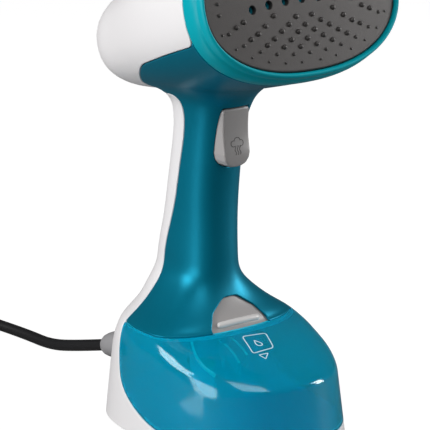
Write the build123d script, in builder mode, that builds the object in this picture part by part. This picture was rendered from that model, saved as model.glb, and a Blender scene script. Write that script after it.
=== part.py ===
from build123d import *
import os
from math import cos, pi, radians, sin, tan

# Handheld garment steamer that stands upright on its own base.
# Frame: millimetres, +Z up, origin on the floor under the middle of the base,
# the steam plate faces -Y and the cord leaves towards +Y.

os.makedirs("parts", exist_ok=True)

# ---- Driving dimensions ----------------------------------------------------
WALL = 2.4              # moulded shell thickness
GAP = 0.4               # clearance between neighbouring mouldings
ROUNDNESS = 2.25        # exponent of the oval outlines, 2 is an ellipse
OUTLINE_POINTS = 20     # points on one oval outline

BASE_HALF_WIDTH = 59.0
BASE_FRONT = 73.5
BASE_REAR = 76.0
FOOT_HEIGHT = 1.2       # rubber feet stand this far below the foot plate
TRAY_TOP = 8.0          # top of the rim that the water tank stands on
CREASE_Z = 40.0         # edge between the tank's wall and its sloping top
BELL_Z = 61.0           # lower edge of the front shell, over the tank

PLATE_TILT = 15.0       # the steam plate leans back by this angle
PLATE_CENTRE_Y = -63.5
PLATE_CENTRE_Z = 254.0
PLATE_HALF_WIDTH = 65.5
PLATE_HALF_HEIGHT = 38.3
PLATE_THICK = 4.0
RING_HALF_WIDTH = 70.0
RING_HALF_HEIGHT = 44.0
RING_DEPTH = 12.5

TRIGGER_HALF_WIDTH = 9.4
TRIGGER_TOP_Z = 186.0
TRIGGER_LOW_Z = 151.0
TRIGGER_FACE_Y = -11.0
TRIGGER_PIVOT_Y = 3.0
TRIGGER_PIVOT_Z = 182.0
PIN_R = 1.5
RUNNING = 0.05          # radial clearance of a running fit

LATCH_SLOPE = 50.0      # the latch slides up the flare at this angle
LATCH_TRAVEL = 4.0
LATCH_Y = -11.5         # middle of the latch on the flare's front
LATCH_Z = 68.0

CORD_R = 3.5
BUSH_Y = 78.0
BUSH_Z = 28.5
BUSH_SLOPE = 15.0       # the bush points down by this angle

# Height, middle, half width, front and rear reach of each level of the body.
WALL_LEVELS = [
    (FOOT_HEIGHT, 0.0, BASE_HALF_WIDTH, BASE_FRONT, BASE_REAR),
    (CREASE_Z, 0.0, 55.0, 68.0, 73.0),
]
DOME_LEVELS = [
    WALL_LEVELS[1],
    (44.0, 0.5, 54.8, 63.5, 71.3),
    (48.0, 1.0, 54.3, 57.0, 69.2),
    (52.0, 2.0, 53.4, 48.0, 66.5),
    (56.0, 3.5, 52.0, 38.5, 63.0),
    (60.0, 6.0, 49.8, 25.0, 58.0),
]
HANDLE_LEVELS = [
    DOME_LEVELS[-1],
    (64.0, 7.5, 44.5, 21.5, 54.5),
    (69.0, 9.0, 37.0, 19.0, 50.5),
    (76.0, 12.0, 28.5, 17.0, 46.0),
    (86.0, 18.0, 20.3, 19.7, 36.5),
    (98.0, 23.0, 18.5, 24.2, 28.0),
    (116.0, 22.5, 18.0, 23.6, 23.2),
    (135.0, 20.0, 17.9, 21.7, 21.5),
    (155.0, 17.0, 17.9, 20.8, 20.5),
    (172.0, 14.5, 18.5, 20.8, 19.8),
    (186.0, 12.0, 21.0, 23.0, 22.5),
    (200.0, 11.0, 27.0, 31.0, 29.0),
]
# Distance behind the plate, drop below the axis, half width, half height.
HEAD_LEVELS = [
    (RING_DEPTH, 0.0, RING_HALF_WIDTH, RING_HALF_HEIGHT),
    (48.0, 0.5, 64.0, 43.0),
    (85.0, 1.5, 55.0, 38.5),
    (115.0, 3.5, 46.0, 32.0),
    (138.0, 5.0, 37.0, 25.0),
    (149.0, 5.5, 29.0, 18.0),
]
# Side view (Y, Z) of the seam between the two shells, head to base.
SHELL_SEAM = [(-48.0, 232.5), (-24.0, 224.6), (0.0, 216.4), (9.0, 213.0), (16.0, 209.0), (23.0, 204.3),
              (30.0, 199.5), (34.3, 195.5), (34.0, 191.8), (28.0, 190.5), (20.0, 191.8), (15.0, 191.0),
              (12.6, 187.0), (12.2, 182.0), (12.8, 177.0), (15.5, 164.0), (19.0, 149.0), (23.0, 130.0),
              (27.5, 116.0), (34.0, 92.0), (35.5, 75.0), (36.0, BELL_Z)]
# Side view (Y, Z) of the tank's rear and lower edge, from the flare down to the front.
TANK_SEAM = [(36.0, BELL_Z), (34.0, 43.0), (29.5, 29.0), (18.5, 20.0), (6.0, 14.0), (-7.0, 10.0),
             (-22.0, TRAY_TOP)]

# ---- Shared shapes ---------------------------------------------------------
BEYOND_Y = -95.0        # in front of everything
BEYOND_Z = 240.0        # above the seam between the shells
BEYOND_X = 100.0        # past both sides
TILT = radians(PLATE_TILT)
BACK = Vector(0, cos(TILT), -sin(TILT))
UP_PLATE = Vector(0, sin(TILT), cos(TILT))
PLATE_CENTRE = Vector(0, PLATE_CENTRE_Y, PLATE_CENTRE_Z)


def head_plane(distance, drop=0.0):
    """Plane across the head, facing forwards, a distance behind the steam plate's face."""
    return Plane(origin=PLATE_CENTRE + BACK * distance - UP_PLATE * drop, x_dir=(1, 0, 0), z_dir=-BACK)


def power(value, exponent):
    """Signed power of a sine or cosine."""
    return abs(value) ** exponent * (1 if value >= 0 else -1)


def oval(half_width, low, high, middle=0.0, roundness=ROUNDNESS):
    """Points of an oval; low and high are its reach below and above the middle."""
    points = []
    for k in range(OUTLINE_POINTS):
        turn = 2 * pi * k / OUTLINE_POINTS
        reach = high if sin(turn) > 0 else low
        points.append((half_width * power(cos(turn), 2 / roundness),
                       middle + reach * power(sin(turn), 2 / roundness)))
    return points


def loft_ovals(levels, inset, ruled=False):
    """Solid through levels of (plane, middle, half width, low, high), drawn in by inset."""
    with BuildPart() as form:
        for plane, middle, half_width, low, high in levels:
            with BuildSketch(plane):
                with BuildLine():
                    Spline(*oval(half_width - inset, low - inset, high - inset, middle), periodic=True)
                make_face()
        loft(ruled=ruled)
    return form.part


def casing(inset, floor):
    """The whole body and head as one closed form, drawn in by inset all round."""
    bottom = (floor,) + WALL_LEVELS[0][1:]
    wall = [(Plane.XY.offset(z), y, w, f, r) for z, y, w, f, r in (bottom, WALL_LEVELS[1])]
    dome = [(Plane.XY.offset(z), y, w, f, r) for z, y, w, f, r in DOME_LEVELS]
    handle = [(Plane.XY.offset(z), y, w, f, r) for z, y, w, f, r in HANDLE_LEVELS]
    head = [(head_plane(s, drop), 0.0, w, h, h) for s, drop, w, h in HEAD_LEVELS[:-1]]
    s, drop, w, h = HEAD_LEVELS[-1]
    head.append((head_plane(s - inset, drop), 0.0, w, h, h))
    with BuildPart() as form:
        add(loft_ovals(wall, inset, ruled=True))
        add(loft_ovals(dome, inset, ruled=True))
        add(loft_ovals(handle, inset))
        add(loft_ovals(head, inset))
    return form.part


outer_form = casing(0.0, FOOT_HEIGHT)
inner_form = casing(WALL, FOOT_HEIGHT)


def beside(points, amount):
    """Points of a side-view line moved sideways, to its left when amount is positive."""
    moved = []
    for k, (y, z) in enumerate(points):
        before, after = points[max(k - 1, 0)], points[min(k + 1, len(points) - 1)]
        along = Vector(after[0] - before[0], after[1] - before[1]).normalized()
        moved.append((y - along.Y * amount, z + along.X * amount))
    return moved


def tank_space(grow):
    """Room of the water tank across the whole width, grown or drawn in all round."""
    rear = beside(TANK_SEAM, grow)
    rear[0] = (rear[0][0], BELL_Z + grow)
    rear[-1] = (rear[-1][0], TRAY_TOP - grow)
    with BuildPart() as space:
        with BuildSketch(Plane.YZ):
            with BuildLine():
                Spline(*rear)
                Polyline(rear[-1], (BEYOND_Y, TRAY_TOP - grow), (BEYOND_Y, BELL_Z + grow), rear[0])
            make_face()
        extrude(amount=BEYOND_X, both=True)
    return space.part


def front_space():
    """Room in front of the seam between the two shells and above the tank."""
    with BuildPart() as space:
        with BuildSketch(Plane.YZ):
            with BuildLine():
                Spline(*SHELL_SEAM)
                Polyline(SHELL_SEAM[-1], (BEYOND_Y, BELL_Z), (BEYOND_Y, BEYOND_Z), SHELL_SEAM[0])
            make_face()
        extrude(amount=BEYOND_X, both=True)
    return space.part


def head_oval(front, back, grow, half_width=PLATE_HALF_WIDTH, half_height=PLATE_HALF_HEIGHT):
    """Straight oval block in the head, between two distances behind the plate's face."""
    with BuildPart() as block:
        with BuildSketch(head_plane(back)):
            with BuildLine():
                Spline(*oval(half_width + grow, half_height + grow, half_height + grow), periodic=True)
            make_face()
        extrude(amount=back - front)
    return block.part


def head_spots(front, length, places, radius):
    """Round bars along the head's axis, from a distance behind the plate towards the rear."""
    with BuildPart() as bars:
        with BuildSketch(head_plane(front)):
            with Locations(*places):
                Circle(radius)
        extrude(amount=-length)
    return bars.part


# ---- Latch on the flare ----------------------------------------------------
LATCH_BEND_R = 140.0
# Corners inside the latch's outline, across and along the slope from its middle.
LATCH_CORE = [(-13.0, -40.0), (-13.0, -7.0), (-9.5, -1.0), (-2.5, 4.0), (2.5, 4.0), (9.5, -1.0),
              (13.0, -7.0), (13.0, -40.0)]
LATCH_ROUND = 7.0       # the outline lies this far outside those corners
LATCH_LOW = -8.4        # lower edge, along the slope
LATCH_DEPTH = 1.5       # the latch's face lies this far under the flare's surface
LATCH_THICK = 2.0
LATCH_LIP = 2.0         # the latch reaches this far behind the flare's edge
LATCH_ROOM = 0.35       # clearance above and below the latch
LATCH_END_ROOM = 0.5
LATCH_CUT = 12.0        # cuts this deep go right through the flare
slope = radians(LATCH_SLOPE)
UP_SLOPE = Vector(0, cos(slope), sin(slope))
OUT_SLOPE = Vector(0, -sin(slope), cos(slope))
LATCH_CENTRE = Vector(0, LATCH_Y, LATCH_Z)
latch_face = Plane(origin=LATCH_CENTRE, x_dir=(1, 0, 0), z_dir=OUT_SLOPE)


def latch_outline(grow, lift):
    """Arch pushed through the flare, grown all round and stretched up the slope."""
    core = [(x, b if b < LATCH_LOW else b + lift) for x, b in LATCH_CORE]
    with BuildPart() as prism:
        with BuildSketch(latch_face):
            Polygon(*core, align=None)
            offset(amount=LATCH_ROUND + grow)
            with Locations((0, LATCH_LOW - BEYOND_X / 2)):
                Rectangle(BEYOND_X, BEYOND_X, mode=Mode.SUBTRACT)
        extrude(amount=LATCH_CUT, both=True)
    return prism.part


def latch_layer(outer_depth, inner_depth, grow, lift):
    """Curved layer under the flare between two depths, as large as the grown outline."""
    across = Plane(origin=LATCH_CENTRE - UP_SLOPE * 40, x_dir=(1, 0, 0), z_dir=UP_SLOPE)
    with BuildPart() as layer:
        with BuildSketch(across):
            with Locations((0, LATCH_BEND_R)):
                Circle(LATCH_BEND_R - outer_depth)
                Circle(LATCH_BEND_R - inner_depth, mode=Mode.SUBTRACT)
        extrude(amount=80.0)
        add(latch_outline(grow, lift), mode=Mode.INTERSECT)
    return layer.part


latch_room = latch_layer(LATCH_DEPTH - LATCH_ROOM, LATCH_DEPTH + LATCH_THICK + LATCH_ROOM,
                         LATCH_LIP + LATCH_END_ROOM, LATCH_TRAVEL + LATCH_END_ROOM)
latch_window = latch_outline(0.0, 0.0)

# ---- Shells ----------------------------------------------------------------
bush_axis = Axis((0, BUSH_Y, BUSH_Z), (0, cos(radians(BUSH_SLOPE)), -sin(radians(BUSH_SLOPE))))
BUSH_BALL_R = 9.0
BUSH_ROOM = 0.2
SCREW_R = 2.8
SCREW_ROOM = 0.3
SCREW_HEAD = 3.0
shell_screw_places = [(98.0, 50.0), (135.0, 40.5)]     # (Z, Y) of each head's face
TRIGGER_ROOM = 0.4
SLOT_LOW_Z = TRIGGER_LOW_Z - 1.0
SLOT_TOP_Z = TRIGGER_TOP_Z + 0.6
SLOT_BACK_Y = 6.0

with BuildPart() as trigger_slot:
    with BuildSketch(Plane.YZ):
        with BuildLine():
            Polyline((-20.0, SLOT_LOW_Z), (SLOT_BACK_Y, SLOT_LOW_Z), (SLOT_BACK_Y, SLOT_TOP_Z),
                     (-20.0, SLOT_TOP_Z), close=True)
        make_face()
    extrude(amount=TRIGGER_HALF_WIDTH + TRIGGER_ROOM, both=True)

with BuildPart() as front_blank:
    add(outer_form)
    add(inner_form, mode=Mode.SUBTRACT)
    add(front_space(), mode=Mode.INTERSECT)
    add(tank_space(GAP), mode=Mode.SUBTRACT)
    add(trigger_slot.part, mode=Mode.SUBTRACT)
    add(latch_room, mode=Mode.SUBTRACT)
    add(latch_window, mode=Mode.SUBTRACT)

with BuildPart() as front_shell:
    add(front_blank.solids().sort_by(SortBy.VOLUME)[-1])

with BuildPart() as rear_shell:
    add(outer_form)
    add(inner_form, mode=Mode.SUBTRACT)
    add(front_space(), mode=Mode.SUBTRACT)
    add(tank_space(GAP), mode=Mode.SUBTRACT)
    with BuildSketch(Plane.XZ.offset(-BUSH_Y + 20)):
        with Locations((0, BUSH_Z + 0.5)):
            Circle(BUSH_BALL_R + BUSH_ROOM)
    extrude(amount=-30.0, mode=Mode.SUBTRACT)
    for z, y in shell_screw_places:
        with BuildSketch(Plane.XZ.offset(-(y - SCREW_HEAD))):
            with Locations((0, z)):
                Circle(SCREW_R + SCREW_ROOM)
        extrude(amount=-20.0, mode=Mode.SUBTRACT)


# ---- Head ------------------------------------------------------------------
RING_LIP = 2.0          # the ring's lip stands this far in front of the plate's edge
PLATE_FIT = 0.3
with BuildPart() as head_ring:
    ring_levels = [(RING_DEPTH - 0.05, 0.0), (7.0, -0.3), (2.0, 0.9), (-RING_LIP, 3.2)]  # (depth, inset)
    add(loft_ovals([(head_plane(s), 0.0, RING_HALF_WIDTH - r, RING_HALF_HEIGHT - r, RING_HALF_HEIGHT - r)
                    for s, r in ring_levels], 0.0))
    add(head_oval(-10.0, 5.0, PLATE_FIT), mode=Mode.SUBTRACT)
    add(head_oval(-10.0, 30.0, -3.0), mode=Mode.SUBTRACT)

HOLE_PITCH = 11.4
HOLE_R = 2.3
HOLE_ARCH = 0.27        # the row of holes sinks by this times the square of the steps from its middle
hole_places = [(HOLE_PITCH * k, -HOLE_ARCH * k * k) for k in range(-3, 4)]
with BuildPart() as steam_plate:
    add(head_oval(0.0, PLATE_THICK, 0.0))
    add(head_spots(-5.0, 20.0, hole_places, HOLE_R), mode=Mode.SUBTRACT)

SEAL_THICK = 1.0
SEAL_INSET = 5.0
seal_back = PLATE_THICK + SEAL_THICK
with BuildPart() as boiler_seal:
    add(head_oval(PLATE_THICK, seal_back, -SEAL_INSET))
    add(head_oval(PLATE_THICK - 1, seal_back + 1, -SEAL_INSET - 3.0), mode=Mode.SUBTRACT)

BOILER_BACK = 22.0
COVER_BACK = 24.0
BOILER_INSET = 4.5      # the boiler's edge lies this far inside the plate's edge
BOILER_WALL = 4.5
with BuildPart() as boiler_body:
    add(head_oval(seal_back, BOILER_BACK, -BOILER_INSET))
    add(head_oval(seal_back - 1, BOILER_BACK - 4.0, -BOILER_INSET - BOILER_WALL), mode=Mode.SUBTRACT)

with BuildPart() as boiler_cover:
    add(head_oval(BOILER_BACK, COVER_BACK, -BOILER_INSET))

INLET_PLACE = (0.0, 14.0)
with BuildPart() as boiler_inlet:
    add(head_spots(COVER_BACK, 3.0, [INLET_PLACE], 5.0))
    add(head_spots(COVER_BACK + 3.0, 9.0, [INLET_PLACE], 3.0))

ELEMENT_R = 3.5
ELEMENT_HALF = 36.0
ELEMENT_END = 10.0
ELEMENT_BEND = -16.0
with BuildPart() as heating_element:
    element_plane = head_plane(COVER_BACK + ELEMENT_R)
    with BuildLine(element_plane):
        FilletPolyline((-ELEMENT_HALF, ELEMENT_END), (-ELEMENT_HALF, ELEMENT_BEND),
                       (ELEMENT_HALF, ELEMENT_BEND), (ELEMENT_HALF, ELEMENT_END), radius=14.0)
    with BuildSketch(Plane(origin=element_plane.from_local_coords((-ELEMENT_HALF, ELEMENT_END, 0)),
                           z_dir=element_plane.y_dir)):
        Circle(ELEMENT_R)
    sweep()

with BuildPart() as element_terminals:
    for side in (-1, 1):
        place = element_plane.from_local_coords((side * ELEMENT_HALF, ELEMENT_END, 0))
        with BuildSketch(Plane(origin=place, x_dir=(1, 0, 0), z_dir=element_plane.y_dir)):
            Rectangle(6.0, 0.8)
        extrude(amount=9.0)

THERMOSTAT_PLACE = (0.0, -4.0)
FUSE_R = 2.2
with BuildPart() as thermostat:
    add(head_spots(COVER_BACK, 4.0, [THERMOSTAT_PLACE], 8.5))
    add(head_spots(COVER_BACK + 4.0, 5.0, [THERMOSTAT_PLACE], 6.5))

with BuildPart() as thermal_fuse:
    fuse_plane = head_plane(COVER_BACK + FUSE_R)
    with BuildSketch(Plane(origin=fuse_plane.from_local_coords((15.0, -4.0, 0)), z_dir=(1, 0, 0))):
        Circle(FUSE_R)
    extrude(amount=13.0)

screw_places = [(sx * 46.0, sy * 19.0) for sx in (-1, 1) for sy in (-1, 1)]
with BuildPart() as boiler_screws:
    add(head_spots(COVER_BACK, 2.2, screw_places, 3.0))

# ---- Trigger and switch ----------------------------------------------------
trigger_pivot = (TRIGGER_PIVOT_Y, TRIGGER_PIVOT_Z)
PLUNGER_Z = 165.0
RIB_BACK_Y = 8.0
SPRING_Z = 158.0
SPRING_FRONT_Y = 0.0
SEAT_Y = 12.0
with BuildPart() as trigger:
    with BuildSketch(Plane.YZ):
        with BuildLine():
            face = ThreePointArc((TRIGGER_FACE_Y + 1.0, TRIGGER_TOP_Z - 2.0), (TRIGGER_FACE_Y + 1.6, 170.0),
                                 (TRIGGER_FACE_Y - 0.8, TRIGGER_LOW_Z + 4.0))
            chin = TangentArc(face @ 1, (TRIGGER_FACE_Y + 4.0, TRIGGER_LOW_Z), tangent=face % 1)
            Polyline(chin @ 1, (SPRING_FRONT_Y, TRIGGER_LOW_Z + 1.0), (SPRING_FRONT_Y, TRIGGER_TOP_Z - 1.0),
                     (TRIGGER_FACE_Y + 3.0, TRIGGER_TOP_Z), face @ 0)
        make_face()
    extrude(amount=TRIGGER_HALF_WIDTH, both=True)
    with BuildSketch(Plane.YZ):
        with BuildLine():
            Polyline((SPRING_FRONT_Y - 1, PLUNGER_Z - 2), (RIB_BACK_Y - 0.3, PLUNGER_Z - 2),
                     (RIB_BACK_Y - 0.3, TRIGGER_TOP_Z - 2), (SPRING_FRONT_Y - 1, TRIGGER_TOP_Z - 2),
                     close=True)
        make_face()
    extrude(amount=4.0, both=True)
    with BuildSketch(Plane.YZ):
        with Locations(trigger_pivot):
            Circle(PIN_R + RUNNING)
    extrude(amount=20.0, both=True, mode=Mode.SUBTRACT)

with BuildPart() as trigger_pin:
    with BuildSketch(Plane.YZ):
        with Locations(trigger_pivot):
            Circle(PIN_R)
    extrude(amount=TRIGGER_HALF_WIDTH + 4.0, both=True)

with BuildPart() as trigger_spring:
    with BuildSketch(Plane.XZ.offset(-SPRING_FRONT_Y)):
        with Locations((0, SPRING_Z)):
            Circle(2.6)
            Circle(2.0, mode=Mode.SUBTRACT)
    extrude(amount=SPRING_FRONT_Y - SEAT_Y)

with BuildPart() as switch_bracket:
    with BuildSketch(Plane.YZ):
        Polygon((SEAT_Y, 152.0), (SEAT_Y + 2, 152.0), (SEAT_Y + 2, 161.0), (SEAT_Y + 14, 161.0),
                (SEAT_Y + 14, 163.0), (SEAT_Y, 163.0), align=None)
    extrude(amount=7.0, both=True)

PLUNGER_R = 1.5
BRACKET_Z = 163.0       # the switch stands on its bracket at this height
SWITCH_SIZE = 12.0
SWITCH_HEIGHT = 11.0
with BuildPart() as switch_body:
    with BuildSketch(Plane.XY.offset(BRACKET_Z)):
        with Locations((0, SEAT_Y + SWITCH_SIZE / 2)):
            Rectangle(SWITCH_SIZE, SWITCH_SIZE)
    extrude(amount=SWITCH_HEIGHT)
    with BuildSketch(Plane.XZ.offset(-SEAT_Y)):
        with Locations((0, PLUNGER_Z + 3)):
            Circle(PLUNGER_R + RUNNING)
    extrude(amount=-7.0, mode=Mode.SUBTRACT)

with BuildPart() as switch_plunger:
    with BuildSketch(Plane.XZ.offset(-RIB_BACK_Y)):
        with Locations((0, PLUNGER_Z + 3)):
            Circle(PLUNGER_R)
    extrude(amount=-8.0)

# ---- Latch -----------------------------------------------------------------
RIDGE_HALF = 13.5
LUG_DEPTH = 7.6
SPRING_DEPTH = 7.0
SPRING_START = 2.5      # along the slope, where the lug holds the spring
SPRING_SEAT = 9.5       # along the slope, where the dock's post holds the spring
RIDGE_R = 1.7
with BuildPart() as latch:
    add(latch_layer(LATCH_DEPTH, LATCH_DEPTH + LATCH_THICK, LATCH_LIP, 0.0))
    with BuildSketch(Plane(origin=LATCH_CENTRE + UP_SLOPE * (SPRING_START - 1.0), x_dir=(1, 0, 0),
                           z_dir=-OUT_SLOPE)):
        Rectangle(6.0, 2.0)
    extrude(amount=LUG_DEPTH)
    add(tank_space(2 * GAP), mode=Mode.SUBTRACT)
    with BuildSketch(Plane(origin=LATCH_CENTRE + OUT_SLOPE * 5.0, x_dir=(1, 0, 0), z_dir=-OUT_SLOPE)):
        Rectangle(60.0, 60.0)
    extrude(amount=5.0 + LATCH_DEPTH, mode=Mode.SUBTRACT)
    ridge_plane = Plane(origin=LATCH_CENTRE - UP_SLOPE * 3.5 - OUT_SLOPE * 1.6, x_dir=(1, 0, 0),
                        z_dir=OUT_SLOPE)
    with BuildSketch(ridge_plane):
        SlotOverall(2 * RIDGE_HALF, 2 * RIDGE_R)
    extrude(amount=2.6)

with BuildPart() as latch_spring:
    spring_plane = Plane(origin=LATCH_CENTRE + UP_SLOPE * SPRING_START - OUT_SLOPE * SPRING_DEPTH,
                         x_dir=(1, 0, 0), z_dir=UP_SLOPE)
    with BuildSketch(spring_plane):
        Circle(2.0)
        Circle(1.4, mode=Mode.SUBTRACT)
    extrude(amount=SPRING_SEAT - SPRING_START)

# ---- Water tank and its dock -----------------------------------------------
TANK_WALL = 2.0
VALVE_Z = 31.0
VALVE_BORE_R = 5.0
BOSS_R = 7.5
BOSS_FRONT_Y = 14.0
tank_form = casing(TANK_WALL, FOOT_HEIGHT)
with BuildPart() as valve_boss:
    with BuildSketch(Plane.XZ.offset(-BOSS_FRONT_Y)):
        with Locations((0, VALVE_Z)):
            Circle(BOSS_R)
    extrude(amount=-30.0)

with BuildPart() as tank_hollow:
    add(tank_form)
    add(tank_space(-TANK_WALL), mode=Mode.INTERSECT)
    add(valve_boss.part, mode=Mode.SUBTRACT)

with BuildPart() as water_tank:
    add(outer_form)
    add(tank_space(0.0), mode=Mode.INTERSECT)
    add(tank_hollow.part, mode=Mode.SUBTRACT)
    with BuildSketch(Plane.XZ.offset(-BOSS_FRONT_Y + 5.0)):
        with Locations((0, VALVE_Z)):
            Circle(VALVE_BORE_R)
    extrude(amount=-50.0, mode=Mode.SUBTRACT)

DOCK_THICK = 2.0
# The post that holds the latch's spring, under the flare's surface.
POST_HIGH = 4.8
POST_LOW = 9.6
POST_THICK = 2.5
dock_form = casing(WALL + 0.2, FOOT_HEIGHT)
with BuildPart() as tank_dock:
    add(dock_form)
    add(tank_space(GAP + DOCK_THICK), mode=Mode.INTERSECT)
    add(tank_space(GAP), mode=Mode.SUBTRACT)
    add(latch_room, mode=Mode.SUBTRACT)
    with BuildSketch(Plane.XZ.offset(-BOSS_FRONT_Y)):
        with Locations((0, VALVE_Z)):
            Circle(VALVE_BORE_R + 0.3)
    extrude(amount=-40.0, mode=Mode.SUBTRACT)
    seat = LATCH_CENTRE + UP_SLOPE * SPRING_SEAT
    high, low = seat - OUT_SLOPE * POST_HIGH, seat - OUT_SLOPE * POST_LOW
    low_back, high_back = low + UP_SLOPE * POST_THICK, high + UP_SLOPE * POST_THICK
    foot_z = BELL_Z + GAP + 1.0
    with BuildSketch(Plane.YZ):
        Polygon(*[(point.Y, point.Z) for point in (high, low, low_back, high_back)], align=None)
        Polygon((low.Y, low.Z), (low_back.Y, low_back.Z), (low_back.Y + 2, foot_z), (low.Y, foot_z),
                align=None)
    extrude(amount=3.0, both=True)

POPPET_Y = 22.0
NIPPLE_Y = 26.3
NIPPLE_R = 3.5
INLET_END_Y = 42.0


def along_y(rings, z=VALVE_Z, x=0.0):
    """Stack of round pieces along Y, each as (start, end, outer radius, bore radius)."""
    with BuildPart() as stack:
        for start, end, outer_r, bore_r in rings:
            with BuildSketch(Plane.XZ.offset(-start)):
                with Locations((x, z)):
                    Circle(outer_r)
                    if bore_r:
                        Circle(bore_r, mode=Mode.SUBTRACT)
            extrude(amount=start - end)
    return stack.part


with BuildPart() as valve_poppet:
    add(along_y([(POPPET_Y, POPPET_Y + 4.0, VALVE_BORE_R - 0.3, 0), (POPPET_Y - 9.0, POPPET_Y, 1.5, 0)]))

with BuildPart() as valve_spring:
    add(along_y([(POPPET_Y - 6.0, POPPET_Y, 3.6, 3.0)]))

with BuildPart() as valve_guide:
    add(along_y([(POPPET_Y - 8.0, POPPET_Y - 6.0, VALVE_BORE_R, 1.5 + RUNNING)]))

with BuildPart() as dock_inlet:
    add(along_y([(NIPPLE_Y, INLET_END_Y, NIPPLE_R, 2.0), (INLET_END_Y - 5.5, INLET_END_Y - 4.0, 7.0, 2.0)]))

with BuildPart() as inlet_seal:
    add(along_y([(NIPPLE_Y, NIPPLE_Y + 1.5, VALVE_BORE_R - 0.2, NIPPLE_R)]))

# ---- Pump, tubes and electrics in the foot of the handle -------------------
PUMP_X = 20.0
PUMP_Y = 48.0
PUMP_LOW = 14.0
PUMP_HIGH = 50.0
PISTON_R = 4.0
PUMP_R = 9.0


def upright(x, y, rings):
    """Stack of round pieces along Z, each as (low, high, outer radius, bore radius)."""
    with BuildPart() as stack:
        for low, high, outer_r, bore_r in rings:
            with BuildSketch(Plane.XY.offset(low)):
                with Locations((x, y)):
                    Circle(outer_r)
                    if bore_r:
                        Circle(bore_r, mode=Mode.SUBTRACT)
            extrude(amount=high - low)
    return stack.part


with BuildPart() as pump_body:
    add(upright(PUMP_X, PUMP_Y, [(PUMP_LOW, PUMP_LOW + 3, 7.0, 0),
                                 (PUMP_LOW + 3, PUMP_HIGH - 3, PUMP_R, PISTON_R + RUNNING),
                                 (PUMP_HIGH - 3, PUMP_HIGH, 7.0, 0)]))

with BuildPart() as pump_coil:
    add(upright(PUMP_X, PUMP_Y, [(PUMP_LOW + 8, PUMP_HIGH - 8, PUMP_R + 2.5, PUMP_R)]))

PISTON_HIGH = PUMP_HIGH - 14.0
with BuildPart() as pump_piston:
    add(upright(PUMP_X, PUMP_Y, [(PUMP_LOW + 6, PISTON_HIGH, PISTON_R, 0)]))

with BuildPart() as pump_spring:
    add(upright(PUMP_X, PUMP_Y, [(PISTON_HIGH, PUMP_HIGH - 3, PISTON_R - 0.4, PISTON_R - 1.0)]))

TUBE_R = 2.5


def tube(points, radius):
    """Soft tube through hand-placed points, with bends as large as the runs allow."""
    with BuildPart() as hose:
        with BuildLine() as path:
            FilletPolyline(*points, radius=bend_radii(points))
        with BuildSketch(Plane(origin=path.line @ 0, z_dir=path.line % 0)):
            Circle(radius)
        sweep()
    return hose.part


def bend_radii(points):
    """Radius at each inner point: 0.45 of the shorter run over the tangent of half the turn."""
    radii = []
    for before, here, after in zip(points, points[1:], points[2:]):
        run_in, run_out = Vector(*here) - Vector(*before), Vector(*after) - Vector(*here)
        turn = radians(run_in.get_angle(run_out))
        radii.append(0.45 * min(run_in.length, run_out.length) / tan(turn / 2))
    return radii


inlet_point = head_plane(COVER_BACK + 12.0).from_local_coords((*INLET_PLACE, 0))
inlet_lead = head_plane(COVER_BACK + 27.0).from_local_coords((*INLET_PLACE, 0))
with BuildPart() as pressure_tube:
    add(tube([(PUMP_X, PUMP_Y, PUMP_HIGH), (PUMP_X, PUMP_Y, PUMP_HIGH + 12), (11, 36, 84), (9, 31, 104),
              (10, 29, 128), (10.5, 26, 152), (10.5, 23, 178), (6, 18, 205), tuple(inlet_lead),
              tuple(inlet_point)], TUBE_R))

with BuildPart() as suction_tube:
    add(tube([(0, INLET_END_Y, VALVE_Z), (0, INLET_END_Y + 7, VALVE_Z), (1, INLET_END_Y + 9, 22),
              (5, PUMP_Y, PUMP_LOW), (PUMP_X - 7, PUMP_Y, PUMP_LOW)], TUBE_R))

BOARD_X = -30.0
BOARD_Y = 47.0
BOARD_Z = 29.0
BOARD_THICK = 1.6
with BuildPart() as circuit_board:
    with BuildSketch(Plane.YZ.offset(BOARD_X)):
        with Locations((BOARD_Y, BOARD_Z)):
            Rectangle(14.0, 26.0)
    extrude(amount=BOARD_THICK)

with BuildPart() as board_parts:
    with BuildSketch(Plane.YZ.offset(BOARD_X + BOARD_THICK)):
        with Locations((BOARD_Y - 1.0, BOARD_Z + 7.0)):
            Rectangle(8.0, 10.0)
        with Locations((BOARD_Y + 1.0, BOARD_Z - 5.0)):
            Rectangle(6.0, 8.0)
    extrude(amount=7.0)

TERMINAL_PLACE = (-8.0, 50.0, 42.0)
with BuildPart() as terminal_block:
    with BuildSketch(Plane.XY.offset(TERMINAL_PLACE[2])):
        with Locations(TERMINAL_PLACE[:2]):
            Rectangle(18.0, 10.0)
    extrude(amount=9.0)

# ---- Cord outlet -----------------------------------------------------------
SLEEVE_LENGTH = 36.0
bush_plane = Plane(origin=bush_axis.position, x_dir=(1, 0, 0), z_dir=bush_axis.direction)
with BuildPart() as cord_bush:
    with BuildSketch(Plane(origin=bush_axis.position, x_dir=bush_axis.direction, z_dir=(1, 0, 0))):
        with BuildLine():
            ball = CenterArc((0, 0), BUSH_BALL_R, 62.0, 118.0)
            Spline(ball @ 0, (20.0, 8.4), (30.0, 7.4), (SLEEVE_LENGTH, CORD_R + 1.0))
            Polyline((SLEEVE_LENGTH, CORD_R + 1.0), (SLEEVE_LENGTH, 0), ball @ 1)
        make_face()
    revolve(axis=bush_axis)

CLAMP_X = -3.0
CLAMP_Y = 61.5
CLAMP_LOW = 24.0
CLAMP_TOP = 32.0
with BuildPart() as cord_clamp:
    with BuildSketch(Plane.XY.offset(CLAMP_LOW)):
        with Locations((CLAMP_X, CLAMP_Y)):
            Rectangle(18.0, 6.0)
    extrude(amount=CLAMP_TOP - CLAMP_LOW)

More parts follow.
